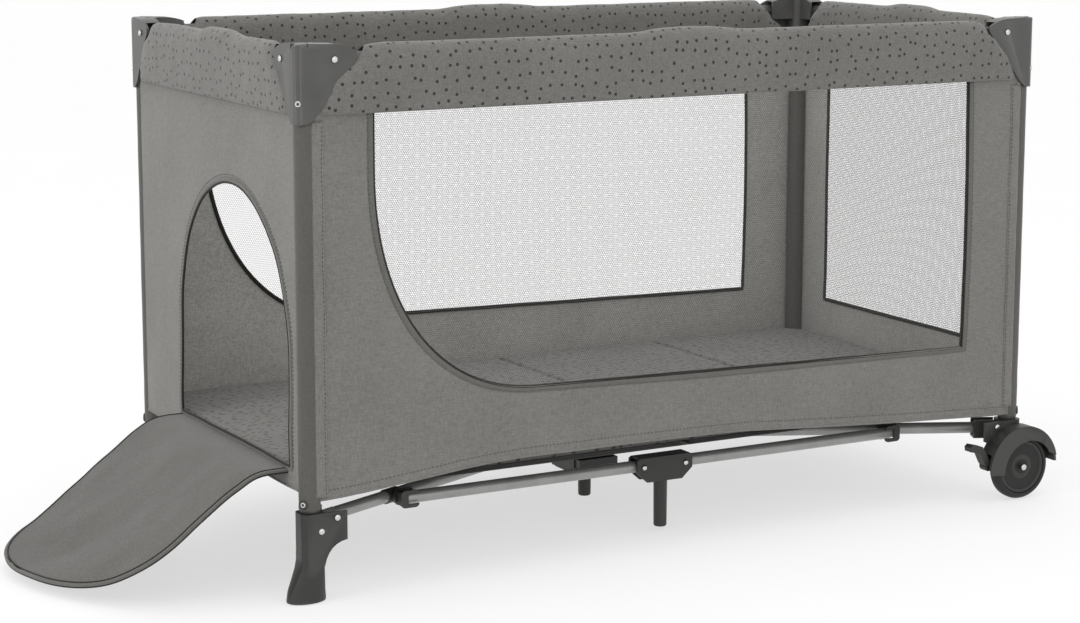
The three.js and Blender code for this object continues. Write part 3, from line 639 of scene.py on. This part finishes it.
def side_loops():
    """The wall's outline and its window's, point for point, down from the upper left corner."""
    left, right, top = SIDE["left"], SIDE["right"], SIDE["top"]
    low = until(BEND["right"], WINDOW["right"], 130)
    high = until(BEND["low"] - 16, WINDOW["top"], 70)
    inner = [
        pairs(WINDOW["left"], until(WINDOW["top"], BEND["top"], 20)),
        window_curve(110),
        pairs(low, BEND["low"] - 16 * ((low - BEND["right"]) / 740)),
        pairs(WINDOW["right"] + 3 * np.sin((high - BEND["low"] + 16) / 130), high),
        pairs(until(WINDOW["right"], WINDOW["left"], 150), WINDOW["top"])]
    hem = np.concatenate([until(left, 300, 50), until(300, right, 130)])
    outer = [
        pairs(left, until(top, 520, 20)),
        pairs(left, until(520, hem_height(left), 60)),
        pairs(hem, hem_height(hem)),
        pairs(right, until(hem_height(right), top, 70)),
        pairs(until(right, left, 150), top)]
    return np.concatenate(outer), np.concatenate(inner)


def side_wave(x, z, seed):
    """How far the side wall stands out at a point: pulled tight, with soft folds low down."""
    folds = 1.3 * ripple(x, z * 0.45, seed, 240) + 0.5 * ripple(x, z, seed + 1, 90)
    slack = smoothstep(300, 170, z)
    edge = smoothstep(0, 40, x) * smoothstep(LENGTH, LENGTH - 40, x) * smoothstep(SIDE["top"], 600, z)
    near_post = np.exp(-((x - 30) / 26) ** 2) * 1.2 * np.sin(z / 38.0)
    return edge * (folds * (0.5 + slack)) + near_post * smoothstep(640, 500, z)


def side_point(x, z, seed, lift=0.0):
    return np.stack([x, -11.6 - lift - side_wave(x, z, seed), z], -1)


def mirrored(points, side):
    """A piece drawn for the front or left side, on the side asked for."""
    points = np.asarray(points, float)
    if side == "back":
        return points * [1, -1, 1] + [0, WIDTH, 0]
    if side == "right":
        return points * [-1, 1, 1] + [LENGTH, 0, 0]
    return points


def fold_with(piece):
    """Gives a wall piece its own copy of its mesh."""
    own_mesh(piece)


WALL_BODY = {"front": "corner_fl", "left": "corner_fl", "back": "corner_bl", "right": "corner_fr"}


def side_wall(side, seed):
    """A long wall with its net, hem and the binding of its window."""
    body, flip = WALL_BODY[side], side == "back"
    outer, inner = side_loops()
    rings = ruled(outer, inner, 26)
    x, z = rings[..., 0], rings[..., 1]
    wall = sheet(f"wall_panel_{side}", mirrored(side_point(x, z, seed), side), body, WALL, flip, True,
                 flat(x, z))
    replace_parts(wall, f"wall_{side}")
    # Its inner face is the wall cloth painted paler, as painted light.
    solidify(wall, WALL_THICK, WALL_INNER_PAINTED_LIGHT)
    centre = np.array([640.0, 470.0])
    t = np.linspace(0, 1, 14)[:, None, None]
    net = inner[None] * (1 - t) + centre * t
    sag = 1.2 * np.sin(t[..., 0] * 1.5) * ripple(net[..., 0], net[..., 1], seed + 4, 420)
    points = mirrored(np.stack([net[..., 0], -11.2 - sag, net[..., 1]], -1), side)
    mesh = sheet(f"net_panel_{side}", points, body, NET, flip, True, net.reshape(-1, 2))
    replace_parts(mesh, f"net_{side}")
    edge = inner[:WINDOW["edge"]]
    outward = unit(edge - centre)

    def line(place, lift):
        return mirrored(side_point(place[:, 0], place[:, 1], seed, lift), side)

    hem_x = np.linspace(SIDE["left"] + 1, SIDE["right"] - 1, 160)
    hem = hem_height(hem_x)
    pieces = [
        wall,
        mesh,
        rope(f"hem_{side}", line(pairs(hem_x, hem + 1.2), 0), 2.0, body, WALL),
        stitches(f"hem_stitch_{side}", line(pairs(hem_x, hem + 13), 1.0), body),
        rope(f"window_piping_{side}", line(edge, 0.5), 1.1, body, BINDING),
        rope(f"window_trim_{side}", line(edge, -2.2), 3.2, body, BINDING, flat=0.4,
             out=(0, 1, 0)),
        rope(f"window_binding_{side}", line(edge + outward * 5.2, 0.7), 5.0, body, PALE_BINDING,
             flat=0.2, out=(0, 1, 0)),
        stitches(f"window_stitch_{side}", line(edge + outward * 8.6, 1.5), body),
    ]
    for piece in pieces:
        fold_with(piece)


side_wall("front", 11)
side_wall("back", 23)


def sleeve_tail(corner, seed):
    """The flat edge of a post's sleeve, sewn down on the long wall beside the post."""
    rows, cols = 80, 9
    z = np.linspace(146, 655, rows)[:, None]
    t = np.linspace(0, 1, cols)[None, :]
    reach = 4 + (17 + 1.2 * ripple(z, 0 * z, seed, 120)) * t
    out = -14.0 + 1.0 * t**3 - 0.5 * np.sin(math.pi * t) + 0.3 * ripple(z, reach * 3, seed + 1, 60)
    points = at_corner(np.stack([reach, out, z + 0 * t], -1), corner)
    tail = sheet(f"sleeve_tail_long_{corner}", points, f"corner_{corner}", WALL, flipped(corner))
    solidify(tail, 0.8)
    line = points[:, cols - 2]
    away = (0, -0.8 * CORNERS[corner][3], 0)
    stitches(f"tail_stitch_long_{corner}", line, f"corner_{corner}", lift=away)


for number, corner in enumerate(CORNERS):
    sleeve_tail(corner, 300 + number)


def end_wave(y, z, seed, door):
    edge = smoothstep(0, 50, y) * smoothstep(WIDTH, WIDTH - 50, y) * smoothstep(667, 600, z)
    folds = 1.2 * ripple(y, z * 0.5, seed, 200) + 0.4 * ripple(y, z, seed + 1, 80)
    slack = 2.6 * np.exp(-((z - 215) / 60) ** 2) if door else 0
    return edge * (folds + slack)


def end_point(y, z, seed, door, lift=0.0):
    return np.stack([-11.6 - lift - end_wave(y, z, seed, door), y, z], -1)


END = {"near": 8.0, "far": 592.0, "top": 673.0, "low": 152.0}
END_WINDOW = {"near": 81, "far": 519, "top": 669, "low": 234}
DOOR = {"y": 232.0, "half": 205.0, "sill": 180.0, "spring": 330.0, "rise": 222.0}
SILL_POINTS = 110


def box_corners(sizes):
    near, far, top, low = (sizes[key] for key in ("near", "far", "top", "low"))
    return [(near, low), (far, low), (far, top), (near, top)]


def door_loops():
    """The wall's outline and the door's, matched point for point from the near sill corner."""
    near, far = DOOR["y"] - DOOR["half"], DOOR["y"] + DOOR["half"]
    straight = until(DOOR["sill"], DOOR["spring"], 40)
    turn = until(0, math.pi, 160)
    inner = np.concatenate([
        pairs(until(near, far, SILL_POINTS), DOOR["sill"]),
        pairs(far, straight),
        pairs(DOOR["y"] + DOOR["half"] * np.cos(turn), DOOR["spring"] + DOOR["rise"] * np.sin(turn)),
        pairs(near, straight[::-1] + straight[1] - straight[0])])
    return loop_between(box_corners(END), [SILL_POINTS, 80, 80, 80]), inner


def end_wall(side, seed):
    """A short wall: the left one with the door and its zip, the right one with a net."""
    body, flip, door = WALL_BODY[side], side == "left", side == "left"
    if door:
        outer, inner = door_loops()
    else:
        counts = [120, 90, 120, 90]
        outer, inner = loop_between(box_corners(END), counts), loop_between(box_corners(END_WINDOW), counts)
    rings = ruled(outer, inner, 24)
    y, z = rings[..., 0], rings[..., 1]
    wall = sheet(f"wall_panel_{side}", mirrored(end_point(y, z, seed, door), side), body, WALL, flip, True,
                 flat(y, z))
    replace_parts(wall, "wall_door" if door else "wall_right")
    # Its inner face is the wall cloth painted paler, as painted light.
    solidify(wall, WALL_THICK, WALL_INNER_PAINTED_LIGHT)

    def line(place, lift):
        return mirrored(end_point(place[:, 0], place[:, 1], seed, door, lift), side)

    pieces = [wall, rope(f"opening_binding_{side}", line(inner, 0.3), 4.6 if door else 1.6, body,
                         PALE_BINDING if door else BINDING, closed=True, flat=0.5,
                         out=(1, 0, 0))]
    middle = np.array([DOOR["y"], DOOR["spring"]])
    if door:
        pieces.append(rope("door_zip", line(inner + unit(middle - inner) * 4.2, 0.9), 1.9, body,
                           BINDING, closed=True))
    else:
        pieces.append(rope("window_trim_right", line(inner, -2.2), 3.2, body, BINDING,
                           closed=True, flat=0.4, out=(1, 0, 0)))
    bottom = pairs(np.linspace(END["near"] + 1, END["far"] - 1, 90), END["low"] + 1.0)
    pieces.append(rope(f"hem_{side}", line(bottom, 0), 2.0, body, WALL))
    if door:
        outside = inner + unit(inner - middle) * 7
        pieces.append(stitches("door_stitch", line(outside[SILL_POINTS - 2:], 1.1), body))
    else:
        t = np.linspace(0, 1, 12)[:, None, None]
        net = inner[None] * (1 - t) + np.array([300.0, 450.0]) * t
        points = mirrored(np.insert(net, 0, -11.2, axis=2), side)
        mesh = sheet("net_panel_right", points, body, NET_END, flip, True, net.reshape(-1, 2))
        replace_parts(mesh, "net_right")
        fold_with(mesh)
    for piece in pieces:
        fold_with(piece)


end_wall("left", 37)
end_wall("right", 41)

# ------------------------------------------------------------------ padded rail covers
SECTION = np.array([  # outer bottom, round the top, and down the inner side
    (-18.6, 665), (-20.6, 680), (-22.8, 702), (-23.4, 724), (-21.6, 741), (-15.5, 752.5), (-5, 756.5),
    (5.5, 752.5), (11.5, 741), (12.6, 724), (11.0, 702), (6.0, 684), (-2.0, 671), (-11.5, 664.5)])


def closed_spline(points, count):
    """A smooth closed curve through points, evenly sampled."""
    n = len(points)
    fine = []
    for i in range(n):
        p0, p1, p2, p3 = (points[(i + k - 1) % n] for k in range(4))
        t = until(0, 1, 12)[:, None]
        fine.append(0.5 * (2 * p1 + (p2 - p0) * t + (2 * p0 - 5 * p1 + 4 * p2 - p3) * t**2
                           + (3 * p1 - p0 - 3 * p2 + p3) * t**3))
    fine = np.concatenate(fine)
    loop = np.concatenate([fine, fine[:1]])
    run = np.concatenate([[0], np.cumsum(np.linalg.norm(np.diff(loop, axis=0), axis=1))])
    s = until(0, run[-1], count)
    return np.stack([np.interp(s, run, loop[:, k]) for k in range(2)], 1), s


def cover_points(run, wing, middle, hump, seed):
    """The sleeve of a rail as rows of sections, with its ends tucked under the caps."""
    section, arc = closed_spline(SECTION, 56)
    rows = int(run / 7)
    y, z = section[:, 0][None, :], section[:, 1][None, :]
    start = 15 + (wing - 11) * smoothstep(655, 744, z) * (z - 655) / 89
    s = np.linspace(0, 1, rows)[:, None]
    s = s - 0.25 * np.sin(2 * math.pi * s) / (2 * math.pi)
    x = start * (1 - s) + (run - start) * s
    depth = np.minimum(x - start, run - start - x)
    tuck = np.exp(-depth / 9.0)
    y = -RAIL_OUT + (y + RAIL_OUT) * (1 - 0.42 * tuck)
    z = z - 3.0 * tuck * smoothstep(730, 752, z)
    rise = np.exp(-(((x - middle) / hump) ** 4))
    top = smoothstep(690, 750, z)
    z = z + 6.0 * rise * top
    y = -RAIL_OUT + (y + RAIL_OUT) * (1 + 0.10 * rise * top)
    gather = np.exp(-depth / 38.0)
    around = arc[None, :]
    swell = 0.9 * ripple(x, around, seed, 150) + 0.5 * ripple(x * 1.6, around, seed + 1, 60)
    swell = swell + 1.5 * gather * np.sin(around / 6.5 + 2.2 * ripple(x, around, seed + 2, 120))
    hem = smoothstep(668, 684, z)
    out_y, out_z = y + RAIL_OUT, (z - 712) * 0.5
    size = np.sqrt(out_y**2 + out_z**2) + 1e-6
    y = y + swell * hem * out_y / size
    z = z + swell * hem * out_z / size * 0.6
    pinch = np.exp(-((z - 678) / 2.4) ** 2) * (out_y < 0)
    y = y + 1.5 * pinch
    return np.stack([x, y, z], -1), np.broadcast_to(around, x.shape)


COVER_BODIES = {  # near half rail, latch and far half rail along each side
    "front": ("corner_fl", "long_rail_fl", "latch_front", "long_rail_fr", "corner_fr"),
    "back": ("corner_bl", "long_rail_bl", "latch_back", "long_rail_br", "corner_br"),
    "left": ("corner_fl", "short_rail_fl", "latch_left", "short_rail_bl", "corner_bl"),
    "right": ("corner_fr", "short_rail_fr", "latch_right", "short_rail_br", "corner_br"),
}


def rail_cover(side, seed):
    """One sleeve cut into runs at the caps and at the latch; the runs between them ride the rails and the
    latch.
    """
    long = side in ("front", "back")
    run = LENGTH if long else WIDTH
    wing, pin, latch = (72, CAP_PIN[0], LATCH_PIN[0]) if long else (59, CAP_PIN[1], LATCH_PIN[1])
    points, around = cover_points(run, wing, run / 2 - (8 if long else 22), 72 if long else 56, seed)
    rows, cols = points.shape[:2]
    if not long:
        points = points[..., [1, 0, 2]]
    points = mirrored(points.reshape(-1, 3), side)
    flip = side in ("back", "left")
    place = points[:, 0] if long else points[:, 1]
    along = place.reshape(rows, cols).mean(1)
    uv = np.stack([place, around.reshape(-1)], 1)
    # A helper piece, removed again: its normals keep the shading even across the cuts.
    whole = make(f"whole_{side}", points, grid_faces(rows, cols, False, True, flip), None, COVER,
                 uv=uv)
    normals = np.array([v.normal for v in whole.data.vertices])
    bpy.data.objects.remove(whole)
    near, bar, catch, bar_far, far = COVER_BODIES[side]
    cuts = [-1, pin + 50, run / 2 - latch - 30, run / 2, run / 2 + latch + 6, run - pin - 50, run + 1]
    joints = [  # the body before a bend, the one after it, and where the bend starts and ends
        (near, bar, pin - 16, pin + 34), (None, bar, 0, 0),
        (bar, catch, run / 2 - latch - 14, run / 2 - latch + 12), (None, catch, 0, 0),
        (None, bar_far, 0, 0), (bar_far, far, run - pin - 34, run - pin + 16)]
    made = []
    for k, (a, b, start, end) in enumerate(joints):
        rows_in = [i for i in range(rows - 1) if cuts[k] <= (along[i] + along[i + 1]) / 2 < cuts[k + 1]]
        first, last = rows_in[0], rows_in[-1] + 1
        pick = slice(first * cols, (last + 1) * cols)
        part = make(f"rail_cover_{side}_{k + 1}", points[pick],
                    grid_faces(last - first + 1, cols, False, True, flip), None, COVER,
                    uv=uv[pick])
        part.data.normals_split_custom_set_from_vertices(normals[pick].tolist())
        if a is None:
            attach(part, b)
        else:
            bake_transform(part)
        made.append(part)
    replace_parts(made[0], f"rail_cover_{side}")
    rows_line = np.arange(3, rows - 3)
    grid = points.reshape(rows, cols, 3)
    for mark, column in (("outer", 2), ("outer_low", 1)):
        line = grid[rows_line, column]
        pieces = [(near, cuts[0], cuts[1]), (bar, cuts[1], cuts[2]), (catch, cuts[2], cuts[4]),
                  (bar_far, cuts[4], cuts[5]), (far, cuts[5], cuts[6])]
        position = along[rows_line]
        for k, (body, start, end) in enumerate(pieces):
            chosen = line[(position >= start) & (position <= end)]
            if len(chosen) > 3:
                out = normals.reshape(rows, cols, 3)[rows_line[0], column] * 0.5
                stitches(f"cover_stitch_{side}_{mark}_{k}", chosen, body, BINDING, out)


for number, side in enumerate(("front", "back", "left", "right")):
    rail_cover(side, 50 + 10 * number)


# ------------------------------------------------------------------ mattress and base cloth
def mattress():
    """A thin padded board: crowned top, rounded edge, soft creases between its four panels."""
    creases = (300, 600, 900)
    x = np.unique(np.concatenate([np.linspace(0, LENGTH, 121), *[c + np.linspace(-9, 9, 9) for c in creases],
                                  np.linspace(0, 12, 7), LENGTH - np.linspace(0, 12, 7)]))
    y = np.unique(np.concatenate([np.linspace(0, WIDTH, 61), np.linspace(0, 12, 7),
                                  WIDTH - np.linspace(0, 12, 7)]))
    gx, gy = np.meshgrid(x, y, indexing="ij")
    inset = np.minimum(np.minimum(gx, LENGTH - gx), np.minimum(gy, WIDTH - gy))
    corner = 55.0
    cx, cy = np.clip(gx, corner, LENGTH - corner), np.clip(gy, corner, WIDTH - corner)
    dx, dy = gx - cx, gy - cy
    size = np.hypot(dx, dy) + 1e-9
    square = np.maximum(abs(dx), abs(dy))
    px, py = cx + dx / size * square, cy + dy / size * square
    round_off = np.clip(1 - inset / 10.0, 0, 1)
    edge = np.sqrt(np.clip(1 - round_off**2.4, 0, 1))
    top = 165.0 + 10.2 * edge + 2.0 * smoothstep(0, 120, inset) + 0.5 * ripple(px, py, 7, 160)
    for crease in creases:
        top -= 4.0 * np.exp(-((px - crease) / 4.0) ** 2) * smoothstep(0, 20, inset)
    bottom = 165.0 - 11.0 * edge
    rows, cols = gx.shape
    upper = np.stack([px, py, np.minimum(top, 177.6)], -1).reshape(-1, 3)
    lower = np.stack([px, py, bottom], -1).reshape(-1, 3)
    faces = grid_faces(rows, cols, flip=True)
    count = rows * cols
    faces += [tuple(count + i for i in reversed(f)) for f in faces]
    rim = [(i, 0) for i in range(rows)] + [(rows - 1, j) for j in range(1, cols)] + \
          [(i, cols - 1) for i in range(rows - 2, -1, -1)] + [(0, j) for j in range(cols - 2, 0, -1)]
    ring = [i * cols + j for i, j in rim]
    faces += [(ring[k], ring[(k + 1) % len(ring)], ring[(k + 1) % len(ring)] + count, ring[k] + count)
              for k in range(len(ring))]
    points = np.concatenate([upper, lower])
    pad = make("mattress_pad", points, faces, "mattress", MATTRESS, closed=True)
    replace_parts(pad, "mattress")
    rope("mattress_piping", points[ring], 1.8, "mattress", PALE_BINDING, closed=True)


mattress()


def base_quarter(corner):
    """A quarter of the cloth under the mattress, riding on its corner's diagonal tube."""
    rows, cols = 40, 22
    x = np.linspace(-8, LENGTH / 2, rows)[:, None]
    y = np.linspace(-8, WIDTH / 2, cols)[None, :]
    gx, gy = x + 0 * y, y + 0 * x
    hold = smoothstep(-8, 25, gx) * smoothstep(-8, 25, gy)
    off_post = np.clip(17 - np.hypot(np.maximum(gx, 0), np.maximum(gy, 0)), 0, 17)
    gx, gy = gx + off_post * 0.8, gy + off_post * 0.8
    z = 151.5 - 1.6 * hold * (0.5 + 0.5 * ripple(gx, gy, 3, 180))
    points = at_corner(np.stack([gx, gy, z], -1), corner)
    piece = sheet(f"base_cloth_{corner}", points, f"diagonal_{corner}", BASE_CLOTH, flipped(corner))
    solidify(piece, 1.4)
    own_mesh(piece)
    if corner == "fl":
        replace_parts(piece, "floor_sheet")


for corner in CORNERS:
    base_quarter(corner)

# ------------------------------------------------------------------ ramp
RAMP_PROFILE = [(-14, 178), (-30, 178.2), (-52, 177.6), (-70, 172.5), (-95, 158.0), (-130, 132.0),
                (-165, 105), (-200, 78.0), (-228, 57.0), (-246, 44.5), (-262, 36.0), (-282, 28.5),
                (-303, 23.0), (-328, 19.0)]


def ramp_path(u):
    """The top of the ramp cloth at a distance along it: place, and direction."""
    points = np.array(RAMP_PROFILE, float)
    run = np.concatenate([[0], np.cumsum(np.linalg.norm(np.diff(points, axis=0), axis=1))])
    fine = np.linspace(0, run[-1], 400)
    x, z = (np.interp(fine, run, points[:, k]) for k in (0, 1))
    kernel = np.hanning(41) / np.hanning(41).sum()
    x, z = (np.convolve(np.pad(v, 20, mode="reflect", reflect_type="odd"), kernel, "valid")
            for v in (x, z))
    u = np.clip(u, 0, run[-1])
    px, pz = np.interp(u, fine, x), np.interp(u, fine, z)
    dx = np.interp(u + 2, fine, x) - np.interp(u - 2, fine, x)
    dz = np.interp(u + 2, fine, z) - np.interp(u - 2, fine, z)
    size = np.hypot(dx, dz)
    return px, pz, dx / size, dz / size


RAMP = {"y": 238.0, "half": 198.0, "straight": 150.0, "length": 352.0, "pillow": 2.2}
TIP = 2.45  # a power above 2 squares off the arch at the tip


def ramp_end(v):
    """How far out the tip reaches, from -1 at the near edge to 1 at the far edge."""
    reach = (1 - abs(v) ** TIP) ** (1 / TIP) * (1 + 0.16 * v - 0.08 * v**2)
    return RAMP["straight"] + (RAMP["length"] - RAMP["straight"]) * reach


def ramp_surface(u, y, lift):
    """A point of the ramp at distance u, `lift` above its mid-surface."""
    px, pz, dx, dz = ramp_path(u)
    tip = smoothstep(170, 350, u)
    far = tip * (smoothstep(240, 430, y) - smoothstep(230, 60, y))
    buckle = 2.2 * ripple(u, y, 91, 210) * smoothstep(20, 90, u) * smoothstep(350, 280, u)
    lift = lift + buckle
    return np.stack([px + lift * dz, y + 22 * tip, pz - 2.6 - lift * dx + 9 * far], -1)


def ramp_edges(name, start, end):
    """The outline of a part of the ramp: two straight sides, or at the tip one arch round it."""
    near, far = RAMP["y"] - RAMP["half"], RAMP["y"] + RAMP["half"]
    if name != "ramp_lower":
        run = np.linspace(start, end, 8 if name == "ramp_sill" else 40)
        return [pairs(run, near), pairs(run, far)]
    turn = np.linspace(-math.pi / 2, math.pi / 2, 200)
    across = np.sign(turn) * abs(np.sin(turn)) ** (2 / TIP)
    arch = pairs(ramp_end(np.clip(across, -1, 1)), RAMP["y"] + RAMP["half"] * across)
    lead = until(start, RAMP["straight"], 6)
    return [np.concatenate([pairs(lead, near), arch, pairs(lead, far)[::-1]])]


def ramp():
    """The flap in three parts, split at the sill and near the floor, each with its edging."""
    rows, cols = 90, 64
    v = np.sin(np.linspace(-math.pi / 2, math.pi / 2, cols))[None, :]
    ends = ramp_end(v)
    parts = [  # name, run along the cloth, bodies either side of a bend, and the run of the bend
        ("ramp_sill", 0, 18, ("corner_fl", "ramp_1"), 3, 14),
        ("ramp_upper", 18, 140, ("ramp_1", "ramp_2"), 24, 62),
        ("ramp_lower", 140, 352, ("ramp_2", "ramp_3"), 255, 305)]
    s = np.linspace(0, 1, rows)[:, None]
    middle = np.array([120.0, RAMP["y"]])
    for name, start, end, bodies, bend_from, bend_to in parts:
        u = np.minimum(start, ends) * (1 - s) + np.minimum(end, ends) * s
        y = RAMP["y"] + RAMP["half"] * v + 0 * u
        pieces = [sheet(f"{name}_{layer}", ramp_surface(u, y, lift), None, material, layer == "under",
                        uv=flat(u, y))
                  for layer, lift, material in (("top", RAMP["pillow"], RAMP_CLOTH),
                                                ("under", -RAMP["pillow"], BINDING))]
        for number, edge in enumerate(ramp_edges(name, start, end)):
            inward = middle - edge
            inward[:, 0] *= np.where(edge[:, 0] > RAMP["straight"], 1, 0)
            inner = edge + unit(inward) * 3.6
            for kind, line, lift, radius, material in (("binding", edge, 0, 2.3, PALE_BINDING),
                                                       ("piping", inner, 2.4, 1.1, BINDING),
                                                       ("zip", edge, -2.4, 2.0, BINDING)):
                pieces.append(rope(f"{name}_{kind}_{number}", ramp_surface(line[:, 0], line[:, 1], lift),
                                   radius, None, material))
        for piece in pieces:
            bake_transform(piece)
        if name == "ramp_lower":
            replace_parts(pieces[0], "ramp_panel_1", "ramp_panel_2", "ramp_panel_3")


ramp()


# ------------------------------------------------------------------ wheels
def wheel(corner):
    """A moulded wheel: rubber tread, dished face with a raised ring, and a bright axle end."""
    sy = CORNERS[corner][3]
    centre = at_corner([(-3, 0, 52)], corner)[0]
    out = np.array([0, -sy, 0.0])
    tyre = [(18.2, 36), (18.2, 46), (19.5, 49.4), (22.5, 51.4), (27, 51.9), (31.5, 51.9), (35.5, 50.6),
            (38.6, 47.2), (39.2, 44.6), (38.4, 42.8), (36.2, 42.0), (35.6, 41.2), (35.6, 36)]
    face = [(18.2, 6), (18.2, 37.5), (35.0, 37.5), (35.2, 41.4), (36.8, 41.9), (37.9, 40.4), (37.6, 38.4),
            (35.4, 36.6), (34.6, 33), (34.2, 27), (34.8, 21), (36.2, 18), (36.6, 15), (36.2, 12.4),
            (35.0, 10.6), (34.6, 8), (34.6, 5)]
    tread = lathe(f"tyre_{corner}", tyre, centre, out, f"wheel_{corner}", TYRE, sides=72)
    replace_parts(tread, f"wheel_{corner}")
    lathe(f"wheel_disc_{corner}", face, centre, out, f"wheel_{corner}", DARK_PLASTIC,
          sides=72)
    rivet(f"axle_end_{corner}", centre + out * 42.6, out, f"corner_{corner}", 5.0)


for corner in ("fr", "br"):
    wheel(corner)

# ------------------------------------------------------------------ floor, light and camera
bpy.ops.mesh.primitive_plane_add(size=30, location=(0, 0, -0.0005))
floor = bpy.context.object
floor.name = "studio_floor"
paper = Look("studio_paper", roughness=0.9, specular=0.1)
paper.colour(paper.mix(paper.noise(3, 2), srgb(155), srgb(160)))
paper.shader.inputs["Emission Color"].default_value = (1, 1, 1, 1)
paper.shader.inputs["Emission Strength"].default_value = 0.62
floor.data.materials.append(paper.material)

world = bpy.data.worlds.new("studio")
bpy.context.scene.world = world
world.use_nodes = True
world.node_tree.nodes["Background"].inputs[0].default_value = (1, 1, 1, 1)
world.node_tree.nodes["Background"].inputs[1].default_value = 1.02


def softbox(name, place, aim, size, power):
    data = bpy.data.lights.new(name, "AREA")
    data.shape, data.size, data.energy = "SQUARE", size, power
    light = bpy.data.objects.new(name, data)
    light.location = Vector(place)
    light.rotation_euler = (Vector(aim) - Vector(place)).to_track_quat("-Z", "Y").to_euler()
    bpy.context.scene.collection.objects.link(light)


softbox("top_light", (0.1, -0.4, 3.2), (0, 0, 0.3), 3.0, 14)
softbox("left_light", (-3.4, -0.6, 1.9), (0, 0, 0.4), 1.5, 20)
softbox("front_light", (-0.6, -3.6, 1.6), (0, 0, 0.3), 2.2, 9)

CAMERA = {"place": [-1331.4, -3079.7, 1008.1], "aim": [600, 300, 356], "roll": 0.188}
data = bpy.data.cameras.new("camera")
data.lens, data.sensor_width = 84.456, 36.0
data.shift_x, data.shift_y = -0.04174, -0.03278
data.clip_end = 60
camera = bpy.data.objects.new("camera", data)
bpy.context.scene.collection.objects.link(camera)
place, aim = Vector(to_frame(CAMERA["place"])), Vector(to_frame(CAMERA["aim"]))
camera.location = place
turn = (aim - place).to_track_quat("-Z", "Y")
camera.rotation_mode = "QUATERNION"
camera.rotation_quaternion = turn @ Quaternion((0, 0, 1), math.radians(CAMERA["roll"]))
bpy.context.scene.camera = camera
bpy.context.scene.view_settings.view_transform = "Standard"
